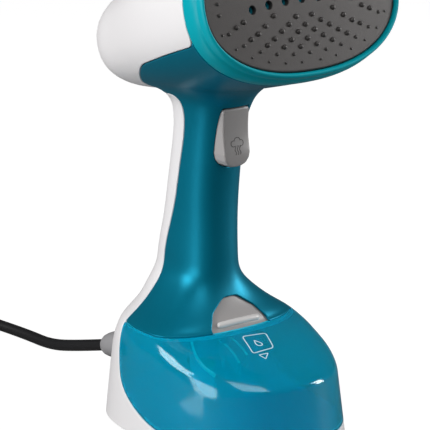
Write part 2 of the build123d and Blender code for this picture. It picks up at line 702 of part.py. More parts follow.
with BuildPart() as clamp_screws:
    for x in (CLAMP_X - 6.0, CLAMP_X + 6.0):
        add(upright(x, CLAMP_Y, [(CLAMP_TOP, CLAMP_TOP + 1.8, 2.6, 0)]))

# ---- Cord, coil and plug ---------------------------------------------------
sleeve_tip = bush_plane.from_local_coords((0, 0, SLEEVE_LENGTH))
tip_lead = bush_plane.from_local_coords((0, 0, SLEEVE_LENGTH + 32.0))
COIL_X = -52.0
COIL_Y = 276.0
COIL_MIDDLE_R = 39.0
COIL_WIDTH = 29.0
COIL_HEIGHT = 15.0
CORD_Z = CORD_R + 0.1
COIL_EDGE_X = COIL_X + COIL_MIDDLE_R + COIL_WIDTH / 2 - CORD_R
COIL_ENTRY_Y = COIL_Y - 16.0
cord_points = [tuple(sleeve_tip), tuple(tip_lead), (1.0, 172.0, CORD_Z + 0.8), (3.0, 200.0, CORD_Z),
               (1.5, 230.0, CORD_Z), (COIL_EDGE_X, COIL_ENTRY_Y, CORD_Z)]

with BuildPart() as cord:
    add(tube(cord_points, CORD_R))

with BuildPart() as cord_coil:
    with BuildSketch(Plane.XZ):
        with Locations((COIL_MIDDLE_R, COIL_HEIGHT / 2)):
            RectangleRounded(COIL_WIDTH, COIL_HEIGHT, CORD_R)
    revolve(axis=Axis.Z)
cord_coil.part.position = (COIL_X, COIL_Y, 0)

PLUG_X = COIL_X - COIL_MIDDLE_R - COIL_WIDTH / 2 + CORD_R
PLUG_Z = 9.5
PLUG_TOP_Y = COIL_Y - 17.0
PLUG_NECK = 20.0
PLUG_BODY = 26.0
with BuildPart() as plug:
    add(along_y([(PLUG_TOP_Y - PLUG_NECK, PLUG_TOP_Y, CORD_R + 1.2, 0)], PLUG_Z, PLUG_X))
    with BuildSketch(Plane.XZ.offset(-(PLUG_TOP_Y - PLUG_NECK))):
        with Locations((PLUG_X, PLUG_Z)):
            RectangleRounded(25.0, 18.0, 5.0)
    extrude(amount=PLUG_BODY, taper=4.0)

BLADE_GAP = 12.7
with BuildPart() as plug_blades:
    with BuildSketch(Plane.XZ.offset(-(PLUG_TOP_Y - PLUG_NECK - PLUG_BODY))):
        with GridLocations(BLADE_GAP, 1.0, 2, 1):
            with Locations((PLUG_X, PLUG_Z)):
                Rectangle(1.5, 6.3)
    extrude(amount=17.0)

# ---- Foot plate, feet and screws -------------------------------------------
FOOT_THICK = 2.4
FOOT_INSET = WALL + 0.9
SCREW_SINK = 1.8
FOOT_R = 7.0
foot_screw_places = [(0.0, -58.0), (0.0, 58.0), (-44.0, 0.0), (44.0, 0.0)]
feet_places = [(sx * 36.0, sy * 46.0) for sx in (-1, 1) for sy in (-1, 1)]
with BuildPart() as foot_plate:
    with BuildSketch(Plane.XY.offset(FOOT_HEIGHT)):
        with BuildLine():
            Spline(*oval(BASE_HALF_WIDTH - FOOT_INSET, BASE_FRONT - FOOT_INSET, BASE_REAR - FOOT_INSET),
                   periodic=True)
        make_face()
    extrude(amount=FOOT_THICK)
    with BuildSketch(Plane.XY.offset(FOOT_HEIGHT)):
        with Locations(*foot_screw_places):
            Circle(SCREW_R + SCREW_ROOM)
    extrude(amount=SCREW_SINK, mode=Mode.SUBTRACT)

with BuildPart() as rubber_feet:
    with BuildSketch():
        with Locations(*feet_places):
            Circle(FOOT_R)
    extrude(amount=FOOT_HEIGHT)
    fillet(rubber_feet.edges().group_by(Axis.Z)[0], radius=0.6)

with BuildPart() as foot_screws:
    for x, y in foot_screw_places:
        add(upright(x, y, [(FOOT_HEIGHT + 0.2, FOOT_HEIGHT + SCREW_SINK, SCREW_R, 0)]))

with BuildPart() as shell_screws:
    for z, y in shell_screw_places:
        add(along_y([(y - SCREW_HEAD, y, SCREW_R, 0)], z))

pieces = dict(
    front_shell=front_shell, rear_shell=rear_shell, head_ring=head_ring, steam_plate=steam_plate,
    boiler_seal=boiler_seal, boiler_body=boiler_body, boiler_cover=boiler_cover, boiler_inlet=boiler_inlet,
    heating_element=heating_element, element_terminals=element_terminals, thermostat=thermostat,
    thermal_fuse=thermal_fuse, boiler_screws=boiler_screws, trigger=trigger, trigger_pin=trigger_pin,
    trigger_spring=trigger_spring, switch_bracket=switch_bracket, switch_body=switch_body,
    switch_plunger=switch_plunger, latch=latch, latch_spring=latch_spring, water_tank=water_tank,
    tank_dock=tank_dock, valve_poppet=valve_poppet, valve_spring=valve_spring, valve_guide=valve_guide,
    dock_inlet=dock_inlet, inlet_seal=inlet_seal, pump_body=pump_body, pump_coil=pump_coil,
    pump_piston=pump_piston, pump_spring=pump_spring, pressure_tube=pressure_tube,
    suction_tube=suction_tube, circuit_board=circuit_board, board_parts=board_parts,
    terminal_block=terminal_block, cord_bush=cord_bush, cord_clamp=cord_clamp, clamp_screws=clamp_screws,
    cord=cord, cord_coil=cord_coil, plug=plug, plug_blades=plug_blades, shell_screws=shell_screws,
    foot_plate=foot_plate, rubber_feet=rubber_feet, foot_screws=foot_screws)
for name, piece in pieces.items():
    piece.part.label = name
    export_step(piece.part, f"parts/{name}.step")
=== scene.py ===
from math import cos, pi, radians, sin

import bpy
import numpy as np
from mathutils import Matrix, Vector
from mathutils.geometry import delaunay_2d_cdt


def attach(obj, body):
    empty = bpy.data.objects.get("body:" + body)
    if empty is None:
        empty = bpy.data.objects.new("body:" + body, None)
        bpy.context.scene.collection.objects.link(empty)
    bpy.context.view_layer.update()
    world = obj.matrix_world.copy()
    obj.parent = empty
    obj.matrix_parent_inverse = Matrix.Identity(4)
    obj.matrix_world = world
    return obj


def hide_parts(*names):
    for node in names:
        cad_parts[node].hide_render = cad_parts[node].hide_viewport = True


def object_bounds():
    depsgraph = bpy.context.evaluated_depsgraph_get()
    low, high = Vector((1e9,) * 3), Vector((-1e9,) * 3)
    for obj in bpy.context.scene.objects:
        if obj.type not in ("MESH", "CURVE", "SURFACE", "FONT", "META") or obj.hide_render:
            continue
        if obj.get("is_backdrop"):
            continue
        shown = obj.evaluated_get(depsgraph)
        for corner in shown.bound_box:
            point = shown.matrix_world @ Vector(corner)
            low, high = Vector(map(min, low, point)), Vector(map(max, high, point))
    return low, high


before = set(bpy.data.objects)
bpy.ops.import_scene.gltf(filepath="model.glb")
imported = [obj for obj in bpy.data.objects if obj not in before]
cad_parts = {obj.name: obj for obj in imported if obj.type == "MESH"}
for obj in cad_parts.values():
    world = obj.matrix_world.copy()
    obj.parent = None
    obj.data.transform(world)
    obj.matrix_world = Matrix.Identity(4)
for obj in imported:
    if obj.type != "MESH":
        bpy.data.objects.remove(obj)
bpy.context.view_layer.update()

# Lengths in this script are in millimetres, and meshes and curves are made in metres.
MM = 0.001

# ---- Camera
camera_data = bpy.data.cameras.new("camera")
camera_data.sensor_width = 36.0
camera_data.lens = 215.5
camera_data.clip_start = 0.05
camera_data.clip_end = 50.0
camera = bpy.data.objects.new("camera", camera_data)
bpy.context.scene.collection.objects.link(camera)
bpy.context.scene.camera = camera
PITCH = radians(14.7)
TURN = radians(-39.0)
camera.location = (-0.8803, -1.0780, 0.4880)
camera.rotation_euler = (pi / 2 - PITCH, 0.0, TURN)

# ---- Levels of the body, as in the CAD part
ROUNDNESS = 2.25
# Heights of the front shell's lower edge, the front of the rim, the white shell's foot and the neck's top.
BELL_Z = 61.0
RIM_Z = 8.0
FOOT_Z = 1.2
NECK_TOP = 212.0
# Height, middle, half width, front and rear reach.
WALL_LEVELS = [(1.2, 0.0, 59.0, 73.5, 76.0), (40.0, 0.0, 55.0, 68.0, 73.0)]
DOME_LEVELS = [
    (40.0, 0.0, 55.0, 68.0, 73.0), (44.0, 0.5, 54.8, 63.5, 71.3), (48.0, 1.0, 54.3, 57.0, 69.2),
    (52.0, 2.0, 53.4, 48.0, 66.5), (56.0, 3.5, 52.0, 38.5, 63.0), (60.0, 6.0, 49.8, 25.0, 58.0),
    (64.0, 7.5, 44.5, 21.5, 54.5), (69.0, 9.0, 37.0, 19.0, 50.5), (76.0, 12.0, 28.5, 17.0, 46.0),
    (86.0, 18.0, 20.3, 19.7, 36.5), (98.0, 23.0, 18.5, 24.2, 28.0), (116.0, 22.5, 18.0, 23.6, 23.2),
    (135.0, 20.0, 17.9, 21.7, 21.5), (155.0, 17.0, 17.9, 20.8, 20.5), (172.0, 14.5, 18.5, 20.8, 19.8),
    (186.0, 12.0, 21.0, 23.0, 22.5), (200.0, 11.0, 27.0, 31.0, 29.0),
]
# Distance behind the plate, drop below the axis, half width, half height.
HEAD_LEVELS = [(12.5, 0.0, 70.0, 44.0), (48.0, 0.5, 64.0, 43.0), (85.0, 1.5, 55.0, 38.5),
               (115.0, 3.5, 46.0, 32.0), (138.0, 5.0, 37.0, 25.0), (149.0, 5.5, 29.0, 18.0)]
HEAD_END = 152.0
PLATE_CENTRE = np.array([0.0, -63.5, 254.0])
TILT = radians(15.0)
BACK = np.array([0.0, cos(TILT), -sin(TILT)])
UP_PLATE = np.array([0.0, sin(TILT), cos(TILT)])
RING_DEPTH = 12.5
# Widths of the roundings at the crease over the wall, at the back of the head and at the neck.
CREASE_ROUND = 1.6
HEAD_ROUND = 18.0
NECK_ROUND = 9.0
# The head's outline stays the same from here on, where nothing of the head is left.
HEAD_STOP = HEAD_END + 4.0
# Side view (Y, Z) of the edge of the white rear shell, from the head down to the front of the base.
REAR_SEAM = [(-48.0, 232.5), (-24.0, 224.6), (0.0, 216.4), (9.0, 213.0), (16.0, 209.0), (23.0, 204.3),
             (30.0, 199.5), (34.3, 195.5), (34.0, 191.8), (28.0, 190.5), (20.0, 191.8), (15.0, 191.0),
             (12.6, 187.0), (12.2, 182.0), (12.8, 177.0), (15.5, 164.0), (19.0, 149.0), (23.0, 130.0),
             (27.5, 116.0), (34.0, 92.0), (35.5, 75.0), (36.0, 61.0), (34.0, 43.0), (29.5, 29.0),
             (18.5, 20.0), (6.0, 14.0), (-7.0, 10.0), (-22.0, 8.0)]


# ---- Numbers and fields
def spline(knots, values):
    """Function with continuous curvature through the knots, straight beyond them."""
    x, y = np.array(knots, float), np.array(values, float)
    h = np.diff(x)
    matrix = np.eye(len(x))
    right = np.zeros(len(x))
    for k in range(1, len(x) - 1):
        matrix[k, k - 1:k + 2] = h[k - 1], 2 * (h[k - 1] + h[k]), h[k]
        right[k] = 6 * ((y[k + 1] - y[k]) / h[k] - (y[k] - y[k - 1]) / h[k - 1])
    bend = np.linalg.solve(matrix, right)
    first = (y[1] - y[0]) / h[0] - h[0] * bend[1] / 6
    last = (y[-1] - y[-2]) / h[-1] + h[-1] * bend[-2] / 6

    def at(q):
        q = np.asarray(q, float)
        inside = np.clip(q, x[0], x[-1])
        k = np.clip(np.searchsorted(x, inside) - 1, 0, len(x) - 2)
        t = inside - x[k]
        slope = (y[k + 1] - y[k]) / h[k] - h[k] * (2 * bend[k] + bend[k + 1]) / 6
        value = y[k] + t * (slope + t * (bend[k] / 2 + t * (bend[k + 1] - bend[k]) / (6 * h[k])))
        return value + np.where(q < x[0], first * (q - x[0]), 0) + np.where(q > x[-1], last * (q - x[-1]), 0)

    return at


def columns(levels):
    """One spline for each column of a table of levels."""
    table = list(zip(*levels))
    return [spline(table[0], column) for column in table[1:]]


wall_lines = columns(WALL_LEVELS)
dome_lines = columns(DOME_LEVELS)
head_lines = columns(HEAD_LEVELS)


def smooth_max(a, b, width):
    """The larger of two fields, rounded where they are within width of each other."""
    near = np.maximum(width - np.abs(a - b), 0) / width
    return np.maximum(a, b) + near * near * width / 4


def smooth_min(a, b, width):
    """The smaller of two fields, rounded in the same way."""
    return -smooth_max(-a, -b, width)


def oval_field(x, y, half, low, high):
    """About the distance outside an oval outline, negative inside it."""
    reach = np.where(y > 0, high, low)
    a, b = np.abs(x) / half, np.abs(y) / reach
    q = np.maximum((a ** ROUNDNESS + b ** ROUNDNESS) ** (1 / ROUNDNESS), 0.05)
    slope = np.hypot((a / q) ** (ROUNDNESS - 1) / half, (b / q) ** (ROUNDNESS - 1) / reach)
    return (q - 1) / np.maximum(slope, 0.004)


def level_field(p, lines):
    """Field of a form given by a table of levels along Z."""
    x, y, z = p[..., 0], p[..., 1], p[..., 2]
    middle, half, front, rear = (line(z) for line in lines)
    return oval_field(x, y - middle, half, front, rear)


def head_place(p):
    """Distance behind the plate's face and height along the plate of each point."""
    offset = p - PLATE_CENTRE
    return offset @ BACK, offset @ UP_PLATE


def outer_field(p):
    """Field of the whole body and head, with a rounded crease and a soft neck."""
    wall, dome = level_field(p, wall_lines), level_field(p, dome_lines)
    body = np.maximum(smooth_max(wall, dome, CREASE_ROUND), p[..., 2] - NECK_TOP)
    behind, above = head_place(p)
    drop, half, high = (line(np.minimum(behind, HEAD_STOP)) for line in head_lines)
    outline = oval_field(p[..., 0], above + drop, half, high, high)
    head = smooth_max(outline, behind - HEAD_END, HEAD_ROUND)
    return smooth_min(body, head, NECK_ROUND)


def gradient(field, p, h=0.02):
    """Slope of a field at each point."""
    return np.stack([(field(p + e) - field(p - e)) / (2 * h) for e in np.eye(3) * h], -1)


def settle(field, p, rounds=3):
    """Moves points onto the surface where the field is zero."""
    for _ in range(rounds):
        g = gradient(field, p)
        p = p - g * (field(p) / np.maximum((g * g).sum(-1), 0.01))[:, None]
    return p


def unit(v):
    """Vectors of length one."""
    return v / np.maximum(np.linalg.norm(v, axis=-1, keepdims=True), 1e-9)


def line_through(points, step):
    """Points a step apart along a smooth line through the given points."""
    points = np.array(points, float)
    along = np.concatenate([[0], np.cumsum(np.linalg.norm(np.diff(points, axis=0), axis=1))])
    places = np.linspace(0, along[-1], int(along[-1] / step) + 1)
    return np.stack([spline(along, column)(places) for column in points.T], -1)


def beside_line(a, b, line):
    """Distance of points (a, b) from a line of many short runs, positive on its right."""
    a, b = np.atleast_1d(a), np.atleast_1d(b)
    best = np.full(a.shape, 1e9)
    side = np.zeros(a.shape)
    for (a0, b0), (a1, b1) in zip(line, line[1:]):
        da, db = a1 - a0, b1 - b0
        t = np.clip(((a - a0) * da + (b - b0) * db) / (da * da + db * db), 0, 1)
        away = np.hypot(a - a0 - t * da, b - b0 - t * db)
        cross = (b - b0) * da - (a - a0) * db
        closer = away < best - 1e-9
        best = np.where(closer, away, best)
        side = np.where(closer, cross, side)
    return best * np.where(side > 0, -1.0, 1.0)


def outline_field(a, b, corners):
    """Distance outside a closed polygon, negative inside it."""
    a, b = np.atleast_1d(a), np.atleast_1d(b)
    best = np.full(a.shape, 1e9)
    inside = np.zeros(a.shape, bool)
    for (a0, b0), (a1, b1) in zip(corners, corners[1:] + corners[:1]):
        da, db = a1 - a0, b1 - b0
        t = np.clip(((a - a0) * da + (b - b0) * db) / (da * da + db * db), 0, 1)
        best = np.minimum(best, np.hypot(a - a0 - t * da, b - b0 - t * db))
        if b0 != b1:
            inside ^= ((b0 > b) != (b1 > b)) & (a < a0 + (b - b0) * da / db)
    return np.where(inside, -best, best)


# ---- Meshes from fields
def net(field, low, high, step):
    """Triangles over the surface where the field is zero, inside a box."""
    axes = [np.arange(a, b + step, step) for a, b in zip(low, high)]
    value = field(np.stack(np.meshgrid(*axes, indexing="ij"), -1))
    inside = value < 0
    steps = np.array([(i, j, k) for i in (0, 1) for j in (0, 1) for k in (0, 1)])
    shape = np.array(value.shape) - 1
    count = sum(inside[i:i + shape[0], j:j + shape[1], k:k + shape[2]].astype(int) for i, j, k in steps)
    cells = np.argwhere((count > 0) & (count < 8))
    index = np.full(shape, -1)
    index[tuple(cells.T)] = np.arange(len(cells))
    total = np.zeros((len(cells), 3))
    crossings = np.zeros(len(cells))
    for first in steps:
        for axis in range(3):
            if first[axis]:
                continue
            start, end = cells + first, cells + first + np.eye(3, dtype=int)[axis]
            v0, v1 = value[tuple(start.T)], value[tuple(end.T)]
            crossed = (v0 < 0) != (v1 < 0)
            share = np.where(crossed, v0 / np.where(crossed, v0 - v1, 1), 0)
            total += np.where(crossed[:, None], start + share[:, None] * (end - start), 0)
            crossings += crossed
    points = np.array(low) + step * total / crossings[:, None]
    quads = []
    for axis in range(3):
        ahead, side_a, side_b = (np.eye(3, dtype=int)[(axis + turn) % 3] for turn in range(3))
        here = inside[:-1, :-1, :-1]
        i, j, k = ahead
        there = inside[i:i + shape[0], j:j + shape[1], k:k + shape[2]]
        nodes = np.argwhere(here != there)
        nodes = nodes[((nodes - side_a - side_b) >= 0).all(1)]
        corners = (side_a * 0, side_a, side_a + side_b, side_b)
        quad = np.stack([index[tuple((nodes - corner).T)] for corner in corners], -1)
        flip = ~inside[tuple(nodes.T)]
        quad[flip] = quad[flip][:, ::-1]
        quads.append(quad)
    quads = np.concatenate(quads)
    quads = quads[(quads >= 0).all(1)]
    return points, np.concatenate([quads[:, [0, 1, 2]], quads[:, [0, 2, 3]]])


def relax(field, points, tris, rounds=3):
    """Evens out the triangles and puts the points back on the surface."""
    edges = np.concatenate([tris[:, [0, 1]], tris[:, [1, 2]], tris[:, [2, 0]]])
    counts = np.bincount(edges[:, 0], minlength=len(points)) + np.bincount(edges[:, 1], minlength=len(points))
    for _ in range(rounds):
        total = np.zeros_like(points)
        for axis in range(3):
            total[:, axis] = (np.bincount(edges[:, 0], points[edges[:, 1], axis], len(points))
                              + np.bincount(edges[:, 1], points[edges[:, 0], axis], len(points)))
        middle = total / np.maximum(counts, 1)[:, None]
        points = settle(field, points + 0.5 * (middle - points), 1)
    return settle(field, points, 2)


# Least and greatest slope of a region along the surface that a distance is worked out with.
LOW_SLOPE = 0.35
HIGH_SLOPE = 1.5
# A point nearer to an edge than this is moved onto it, and moves at most STRIDE at a time.
SNAP = 0.16
STRIDE = 0.5


def surface_value(region, field, p, normals=None):
    """A region's value as a distance along the surface."""
    n = unit(gradient(field, p)) if normals is None else normals
    g = gradient(region, p)
    along = g - n * (g * n).sum(-1)[:, None]
    return region(p) / np.clip(np.linalg.norm(along, axis=-1), LOW_SLOPE, HIGH_SLOPE)


def cut(field, points, tris, region, level):
    """Puts an edge where the region's value is level, and keeps the side above it."""
    value = surface_value(region, field, points) - level
    value = np.where(np.abs(value) < SNAP, 0.0, value)
    sign = np.sign(value)
    mids = np.full((len(tris), 3), -1)
    pairs = np.stack([tris[:, [0, 1]], tris[:, [1, 2]], tris[:, [2, 0]]], 1)
    cross = sign[pairs[..., 0]] * sign[pairs[..., 1]] < 0
    flat = np.sort(pairs[cross], axis=1)
    edges, back = np.unique(flat, axis=0, return_inverse=True)
    share = value[edges[:, 0]] / (value[edges[:, 0]] - value[edges[:, 1]])
    made = points[edges[:, 0]] + share[:, None] * (points[edges[:, 1]] - points[edges[:, 0]])
    mids[cross] = len(points) + back.reshape(-1)
    points = np.concatenate([points, made])
    value = np.concatenate([value, np.zeros(len(made))])
    result = [tris[(mids < 0).all(1)]]
    for turn in range(3):
        t, m = np.roll(tris, -turn, 1), np.roll(mids, -turn, 1)
        two = (m[:, 0] >= 0) & (m[:, 2] >= 0)
        a, b, c, ab, ca = t[two, 0], t[two, 1], t[two, 2], m[two, 0], m[two, 2]
        result += [np.stack(s, -1) for s in ((a, ab, ca), (ab, b, c), (ab, c, ca))]
        one = (m[:, 1] >= 0) & (m[:, 0] < 0) & (m[:, 2] < 0)
        a, b, c, bc = t[one, 0], t[one, 1], t[one, 2], m[one, 1]
        result += [np.stack(s, -1) for s in ((a, b, bc), (a, bc, c))]
    tris = np.concatenate(result)
    on_line = np.flatnonzero(value == 0)
    p = points[on_line]
    for _ in range(3):
        p = settle(field, p, 1)
        n = unit(gradient(field, p))
        g = gradient(region, p)
        along = g - n * (g * n).sum(-1)[:, None]
        size = np.maximum((along * along).sum(-1), 0.1)
        wanted = level * np.clip(np.sqrt(size), LOW_SLOPE, HIGH_SLOPE)
        move = along * ((region(p) - wanted) / size)[:, None]
        p = p - move / np.maximum(np.linalg.norm(move, axis=-1, keepdims=True) / STRIDE, 1)
    points[on_line] = settle(field, p, 1)
    sides = value[tris]
    keep = (sides >= 0).all(1) & (sides > 0).any(1)
    return points, tris, keep


def trim(points, tris):
    """The mesh without unused points."""
    used, back = np.unique(tris, return_inverse=True)
    return points[used], back.reshape(tris.shape)


# Shares of a panel's rounded edge at which the mesh has a line.
EDGE_SHARES = (0.0, 0.12, 0.42, 1.0)


def panel(field, base, region, thickness, edge=0.7, gap=0.2, inner=None, sink=0.0):
    """A moulded panel: the part of the surface where the region is positive, with rounded edges."""
    points, tris = base
    near = (surface_value(region, field, points)[tris] > -1).any(1)
    points, tris = trim(points, tris[near])
    for share in EDGE_SHARES:
        points, tris, keep = cut(field, points, tris, region, gap + edge * share)
        if share == 0:
            points, tris = trim(points, tris[keep])
    normals = unit(gradient(field, points))
    value = surface_value(region, field, points, normals)
    short = np.clip(gap + edge - value, 0, edge)
    depth = edge - np.sqrt(np.maximum(edge * edge - short * short, 0))
    wall = np.full(len(points), thickness) if inner is None else inner(points)
    outer = points - normals * (sink + depth)[:, None]
    under = points - normals * (sink + np.maximum(wall, depth + 0.2))[:, None]
    directed = np.concatenate([tris[:, [0, 1]], tris[:, [1, 2]], tris[:, [2, 0]]])
    key = directed[:, 0] * len(points) + directed[:, 1]
    other = directed[:, 1] * len(points) + directed[:, 0]
    rim = directed[~np.isin(key, other)]
    a, b = rim[:, 0], rim[:, 1]
    n = len(points)
    sides = [np.stack([b, a, a + n], -1), np.stack([b, a + n, b + n], -1)]
    faces = np.concatenate([tris, tris[:, ::-1] + n, *sides])
    smooth = np.where(depth[:, None] > 1e-4, 0, normals)
    return np.concatenate([outer, under]), faces, np.concatenate([smooth, np.zeros_like(smooth)])


def mesh_object(name, points, faces, normals=None, sharp=35.0):
    """Object from points in millimetres."""
    mesh = bpy.data.meshes.new(name)
    mesh.from_pydata((np.asarray(points, float) * MM).tolist(), [], [list(map(int, f)) for f in faces])
    mesh.validate()
    mesh.shade_smooth()
    mesh.set_sharp_from_angle(angle=radians(sharp))
    if normals is not None and len(normals) == len(mesh.vertices):
        mesh.normals_split_custom_set_from_vertices(normals.tolist())
    piece = bpy.data.objects.new(name, mesh)
    bpy.context.scene.collection.objects.link(piece)
    return piece


def joined(parts):
    """Points and faces of several meshes as one."""
    points, faces, start = [], [], 0
    for p, f in parts:
        points.append(np.asarray(p, float))
        faces += [[int(i) + start for i in face] for face in f]
        start += len(p)
    return np.concatenate(points), faces


def turned(profile, axis_point, axis, sides=48, caps=(True, True)):
    """Round form about an axis; the profile holds (distance along it, radius)."""
    axis = unit(np.array(axis, float))
    across = unit(np.cross(axis, [1.0, 0.3, 0.1]))
    other = np.cross(axis, across)
    turns = np.arange(sides) * 2 * pi / sides
    ring = np.cos(turns)[:, None] * across + np.sin(turns)[:, None] * other
    points = np.concatenate([np.array(axis_point, float) + axis * s + ring * r for s, r in profile])
    faces = []
    for row in range(len(profile) - 1):
        for k in range(sides):
            a, b = row * sides + k, row * sides + (k + 1) % sides
            faces.append([a, b, b + sides, a + sides])
    if caps[0]:
        faces.append(list(range(sides))[::-1])
    if caps[1]:
        faces.append([(len(profile) - 1) * sides + k for k in range(sides)])
    return points, faces


def tube_along(path, radius, sides=10):
    """Thin closed tube along points."""
    path = np.array(path, float)
    tangent = unit(np.gradient(path, axis=0))
    across = unit(np.cross(tangent, np.array([0.31, 0.17, 0.93])))
    other = np.cross(tangent, across)
    turns = np.arange(sides) * 2 * pi / sides
    radius = np.broadcast_to(np.asarray(radius, float), (len(path),))[:, None, None]
    points = (path[:, None] + radius * (np.cos(turns)[None, :, None] * across[:, None]
                                        + np.sin(turns)[None, :, None] * other[:, None])).reshape(-1, 3)
    last = (len(path) - 1) * sides
    faces = [[row + k, row + (k + 1) % sides, row + sides + (k + 1) % sides, row + sides + k]
             for row in range(0, last, sides) for k in range(sides)]
    return points, faces + [list(range(sides))[::-1], list(range(last, last + sides))]


# ---- Materials
def srgb(red, green, blue):
    """Linear colour from the usual display values, which go from 0 to 255."""
    linear = [c / 255 / 12.92 if c <= 10 else ((c / 255 + 0.055) / 1.055) ** 2.4
              for c in (red, green, blue)]
    return (*linear, 1.0)


PATCHES = 22.0
GRAIN_DEPTH = 0.0002


def material(name, color, rough, metal=0.0, grain=900.0, bump=0.02, vary=0.06, rough_vary=0.06, **extra):
    """Moulded or metal surface with a fine grain, a soft change of colour and uneven gloss."""
    made = bpy.data.materials.new(name)
    made.use_nodes = True
    nodes, links = made.node_tree.nodes, made.node_tree.links
    shader = nodes["Principled BSDF"]
    shader.inputs["Metallic"].default_value = metal
    for key, value in extra.items():
        shader.inputs[key.replace("_", " ")].default_value = value
    place = nodes.new("ShaderNodeTexCoord")
    broad = nodes.new("ShaderNodeTexNoise")
    broad.inputs["Scale"].default_value = PATCHES
    broad.inputs["Detail"].default_value = 3.0
    fine = nodes.new("ShaderNodeTexNoise")
    fine.inputs["Scale"].default_value = grain
    fine.inputs["Detail"].default_value = 4.0
    links.new(place.outputs["Object"], broad.inputs["Vector"])
    links.new(place.outputs["Object"], fine.inputs["Vector"])
    tint = nodes.new("ShaderNodeMix")
    tint.data_type = "RGBA"
    tint.inputs[6].default_value = tuple(c * (1 - vary) for c in color[:3]) + (1.0,)
    tint.inputs[7].default_value = tuple(min(1.0, c * (1 + vary)) for c in color[:3]) + (1.0,)
    links.new(broad.outputs["Fac"], tint.inputs[0])
    links.new(tint.outputs[2], shader.inputs["Base Color"])
    spread = nodes.new("ShaderNodeMapRange")
    spread.inputs["To Min"].default_value = max(0.02, rough - rough_vary)
    spread.inputs["To Max"].default_value = min(1.0, rough + rough_vary)
    links.new(fine.outputs["Fac"], spread.inputs["Value"])
    links.new(spread.outputs["Result"], shader.inputs["Roughness"])
    relief = nodes.new("ShaderNodeBump")
    relief.inputs["Strength"].default_value = bump
    relief.inputs["Distance"].default_value = GRAIN_DEPTH
    links.new(fine.outputs["Fac"], relief.inputs["Height"])
    links.new(relief.outputs["Normal"], shader.inputs["Normal"])
    return made


white_plastic = material("white_plastic", srgb(234, 232, 233), 0.38, grain=1500, bump=0.05, vary=0.01)
teal_soft = material("teal_soft", srgb(0, 120, 146), 0.40, metal=0.5, grain=2600, bump=0.1, vary=0.04,
                     Specular_IOR_Level=0.15)
teal_ring = material("teal_ring", srgb(0, 158, 172), 0.34, grain=1500, bump=0.06, vary=0.03,
                     Specular_IOR_Level=0.15)
plate_metal = material("plate_metal", srgb(68, 65, 64), 0.36, metal=0.3, grain=2200, bump=0.25, vary=0.1)
grey_plastic = material("grey_plastic", srgb(164, 160, 159), 0.34, grain=1800, bump=0.08, vary=0.03)
ridge_plastic = material("ridge_plastic", srgb(214, 210, 208), 0.3, grain=1800, bump=0.08, vary=0.03)
dark_rubber = material("dark_rubber", srgb(150, 149, 151), 0.55, grain=1800, bump=0.2, vary=0.05)
black_cord = material("black_cord", srgb(24, 24, 26), 0.42, grain=1600, bump=0.15, vary=0.1)
black_plastic = material("black_plastic", srgb(22, 22, 24), 0.38, grain=1400, bump=0.15, vary=0.1)
tank_clear = material("tank_clear", srgb(0, 212, 242), 0.10, grain=300, bump=0.0, vary=0.02, rough_vary=0.02,
                      Transmission_Weight=0.76, IOR=1.5, Specular_IOR_Level=0.15)
# Teal of the tank's inner walls, lighter than the plastic itself: painted light that stands in for light
# shining in through the clear tank.
tank_inside_painted_light = material("tank_inside_painted_light", srgb(0, 198, 226), 0.4, grain=1400, bump=0.05, vary=0.03)
# Pale colour of the ribs inside the tank: the ribs are real shapes, but their lighter colour is a painted
# highlight for their lit sides.
tank_rib_painted_highlight = material("tank_rib_painted_highlight", srgb(150, 226, 238), 0.3, grain=1400, bump=0.05, vary=0.03)
dock_plastic = material("dock_plastic", srgb(0, 96, 124), 0.5, grain=1400, bump=0.1, vary=0.05)
hole_teal = material("hole_teal", srgb(0, 120, 140), 0.4, grain=1400, bump=0.1)
icon_white = material("icon_white", srgb(214, 226, 232), 0.5, grain=1400, bump=0.05, vary=0.02)
icon_grey = material("icon_grey", srgb(92, 90, 90), 0.5, grain=1400, bump=0.05, vary=0.02)
steel = material("steel", srgb(190, 190, 192), 0.3, metal=1.0, grain=1800, bump=0.1)
brass = material("brass", srgb(196, 164, 96), 0.32, metal=1.0, grain=1800, bump=0.1)
copper = material("copper", srgb(176, 96, 58), 0.4, metal=1.0, grain=2400, bump=0.3)
cast_metal = material("cast_metal", srgb(170, 171, 174), 0.5, metal=1.0, grain=1200, bump=0.35)
silicone = material("silicone", srgb(214, 212, 205), 0.5, grain=1200, bump=0.1)
seal_rubber = material("seal_rubber", srgb(150, 60, 48), 0.6, grain=1400, bump=0.2)
board_green = material("board_green", srgb(26, 92, 52), 0.4, grain=1400, bump=0.1)
ivory = material("ivory", srgb(226, 220, 200), 0.45, grain=1200, bump=0.1)

NODE_LOOKS = {
    "boiler_seal": seal_rubber, "boiler_body": cast_metal, "boiler_cover": cast_metal, "boiler_inlet": brass,
    "heating_element": steel, "element_terminals": steel, "thermostat": ivory, "thermal_fuse": ivory,
    "boiler_screws": steel, "trigger_pin": steel, "trigger_spring": steel, "switch_bracket": ivory,
    "switch_body": black_plastic, "switch_plunger": icon_white, "latch_spring": steel,
    "tank_dock": dock_plastic, "valve_poppet": ivory, "valve_spring": steel, "valve_guide": ivory,
    "dock_inlet": ivory, "inlet_seal": seal_rubber, "pump_body": brass, "pump_coil": copper,
    "pump_piston": steel, "pump_spring": steel, "pressure_tube": silicone, "suction_tube": silicone,
    "circuit_board": board_green, "board_parts": black_plastic, "terminal_block": ivory,
    "cord_clamp": ivory, "clamp_screws": steel, "shell_screws": steel, "foot_plate": white_plastic,
    "rubber_feet": dark_rubber, "foot_screws": steel, "plug_blades": brass,
}
for name, look in NODE_LOOKS.items():
    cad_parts[name].data.materials.clear()
    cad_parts[name].data.materials.append(look)


def finish_piece(piece, look, body, slot, *nodes):
    """Material, body and replaced CAD nodes of a piece."""
    piece.data.materials.append(look)
    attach(piece, body)
    if nodes:
        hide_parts(*nodes)


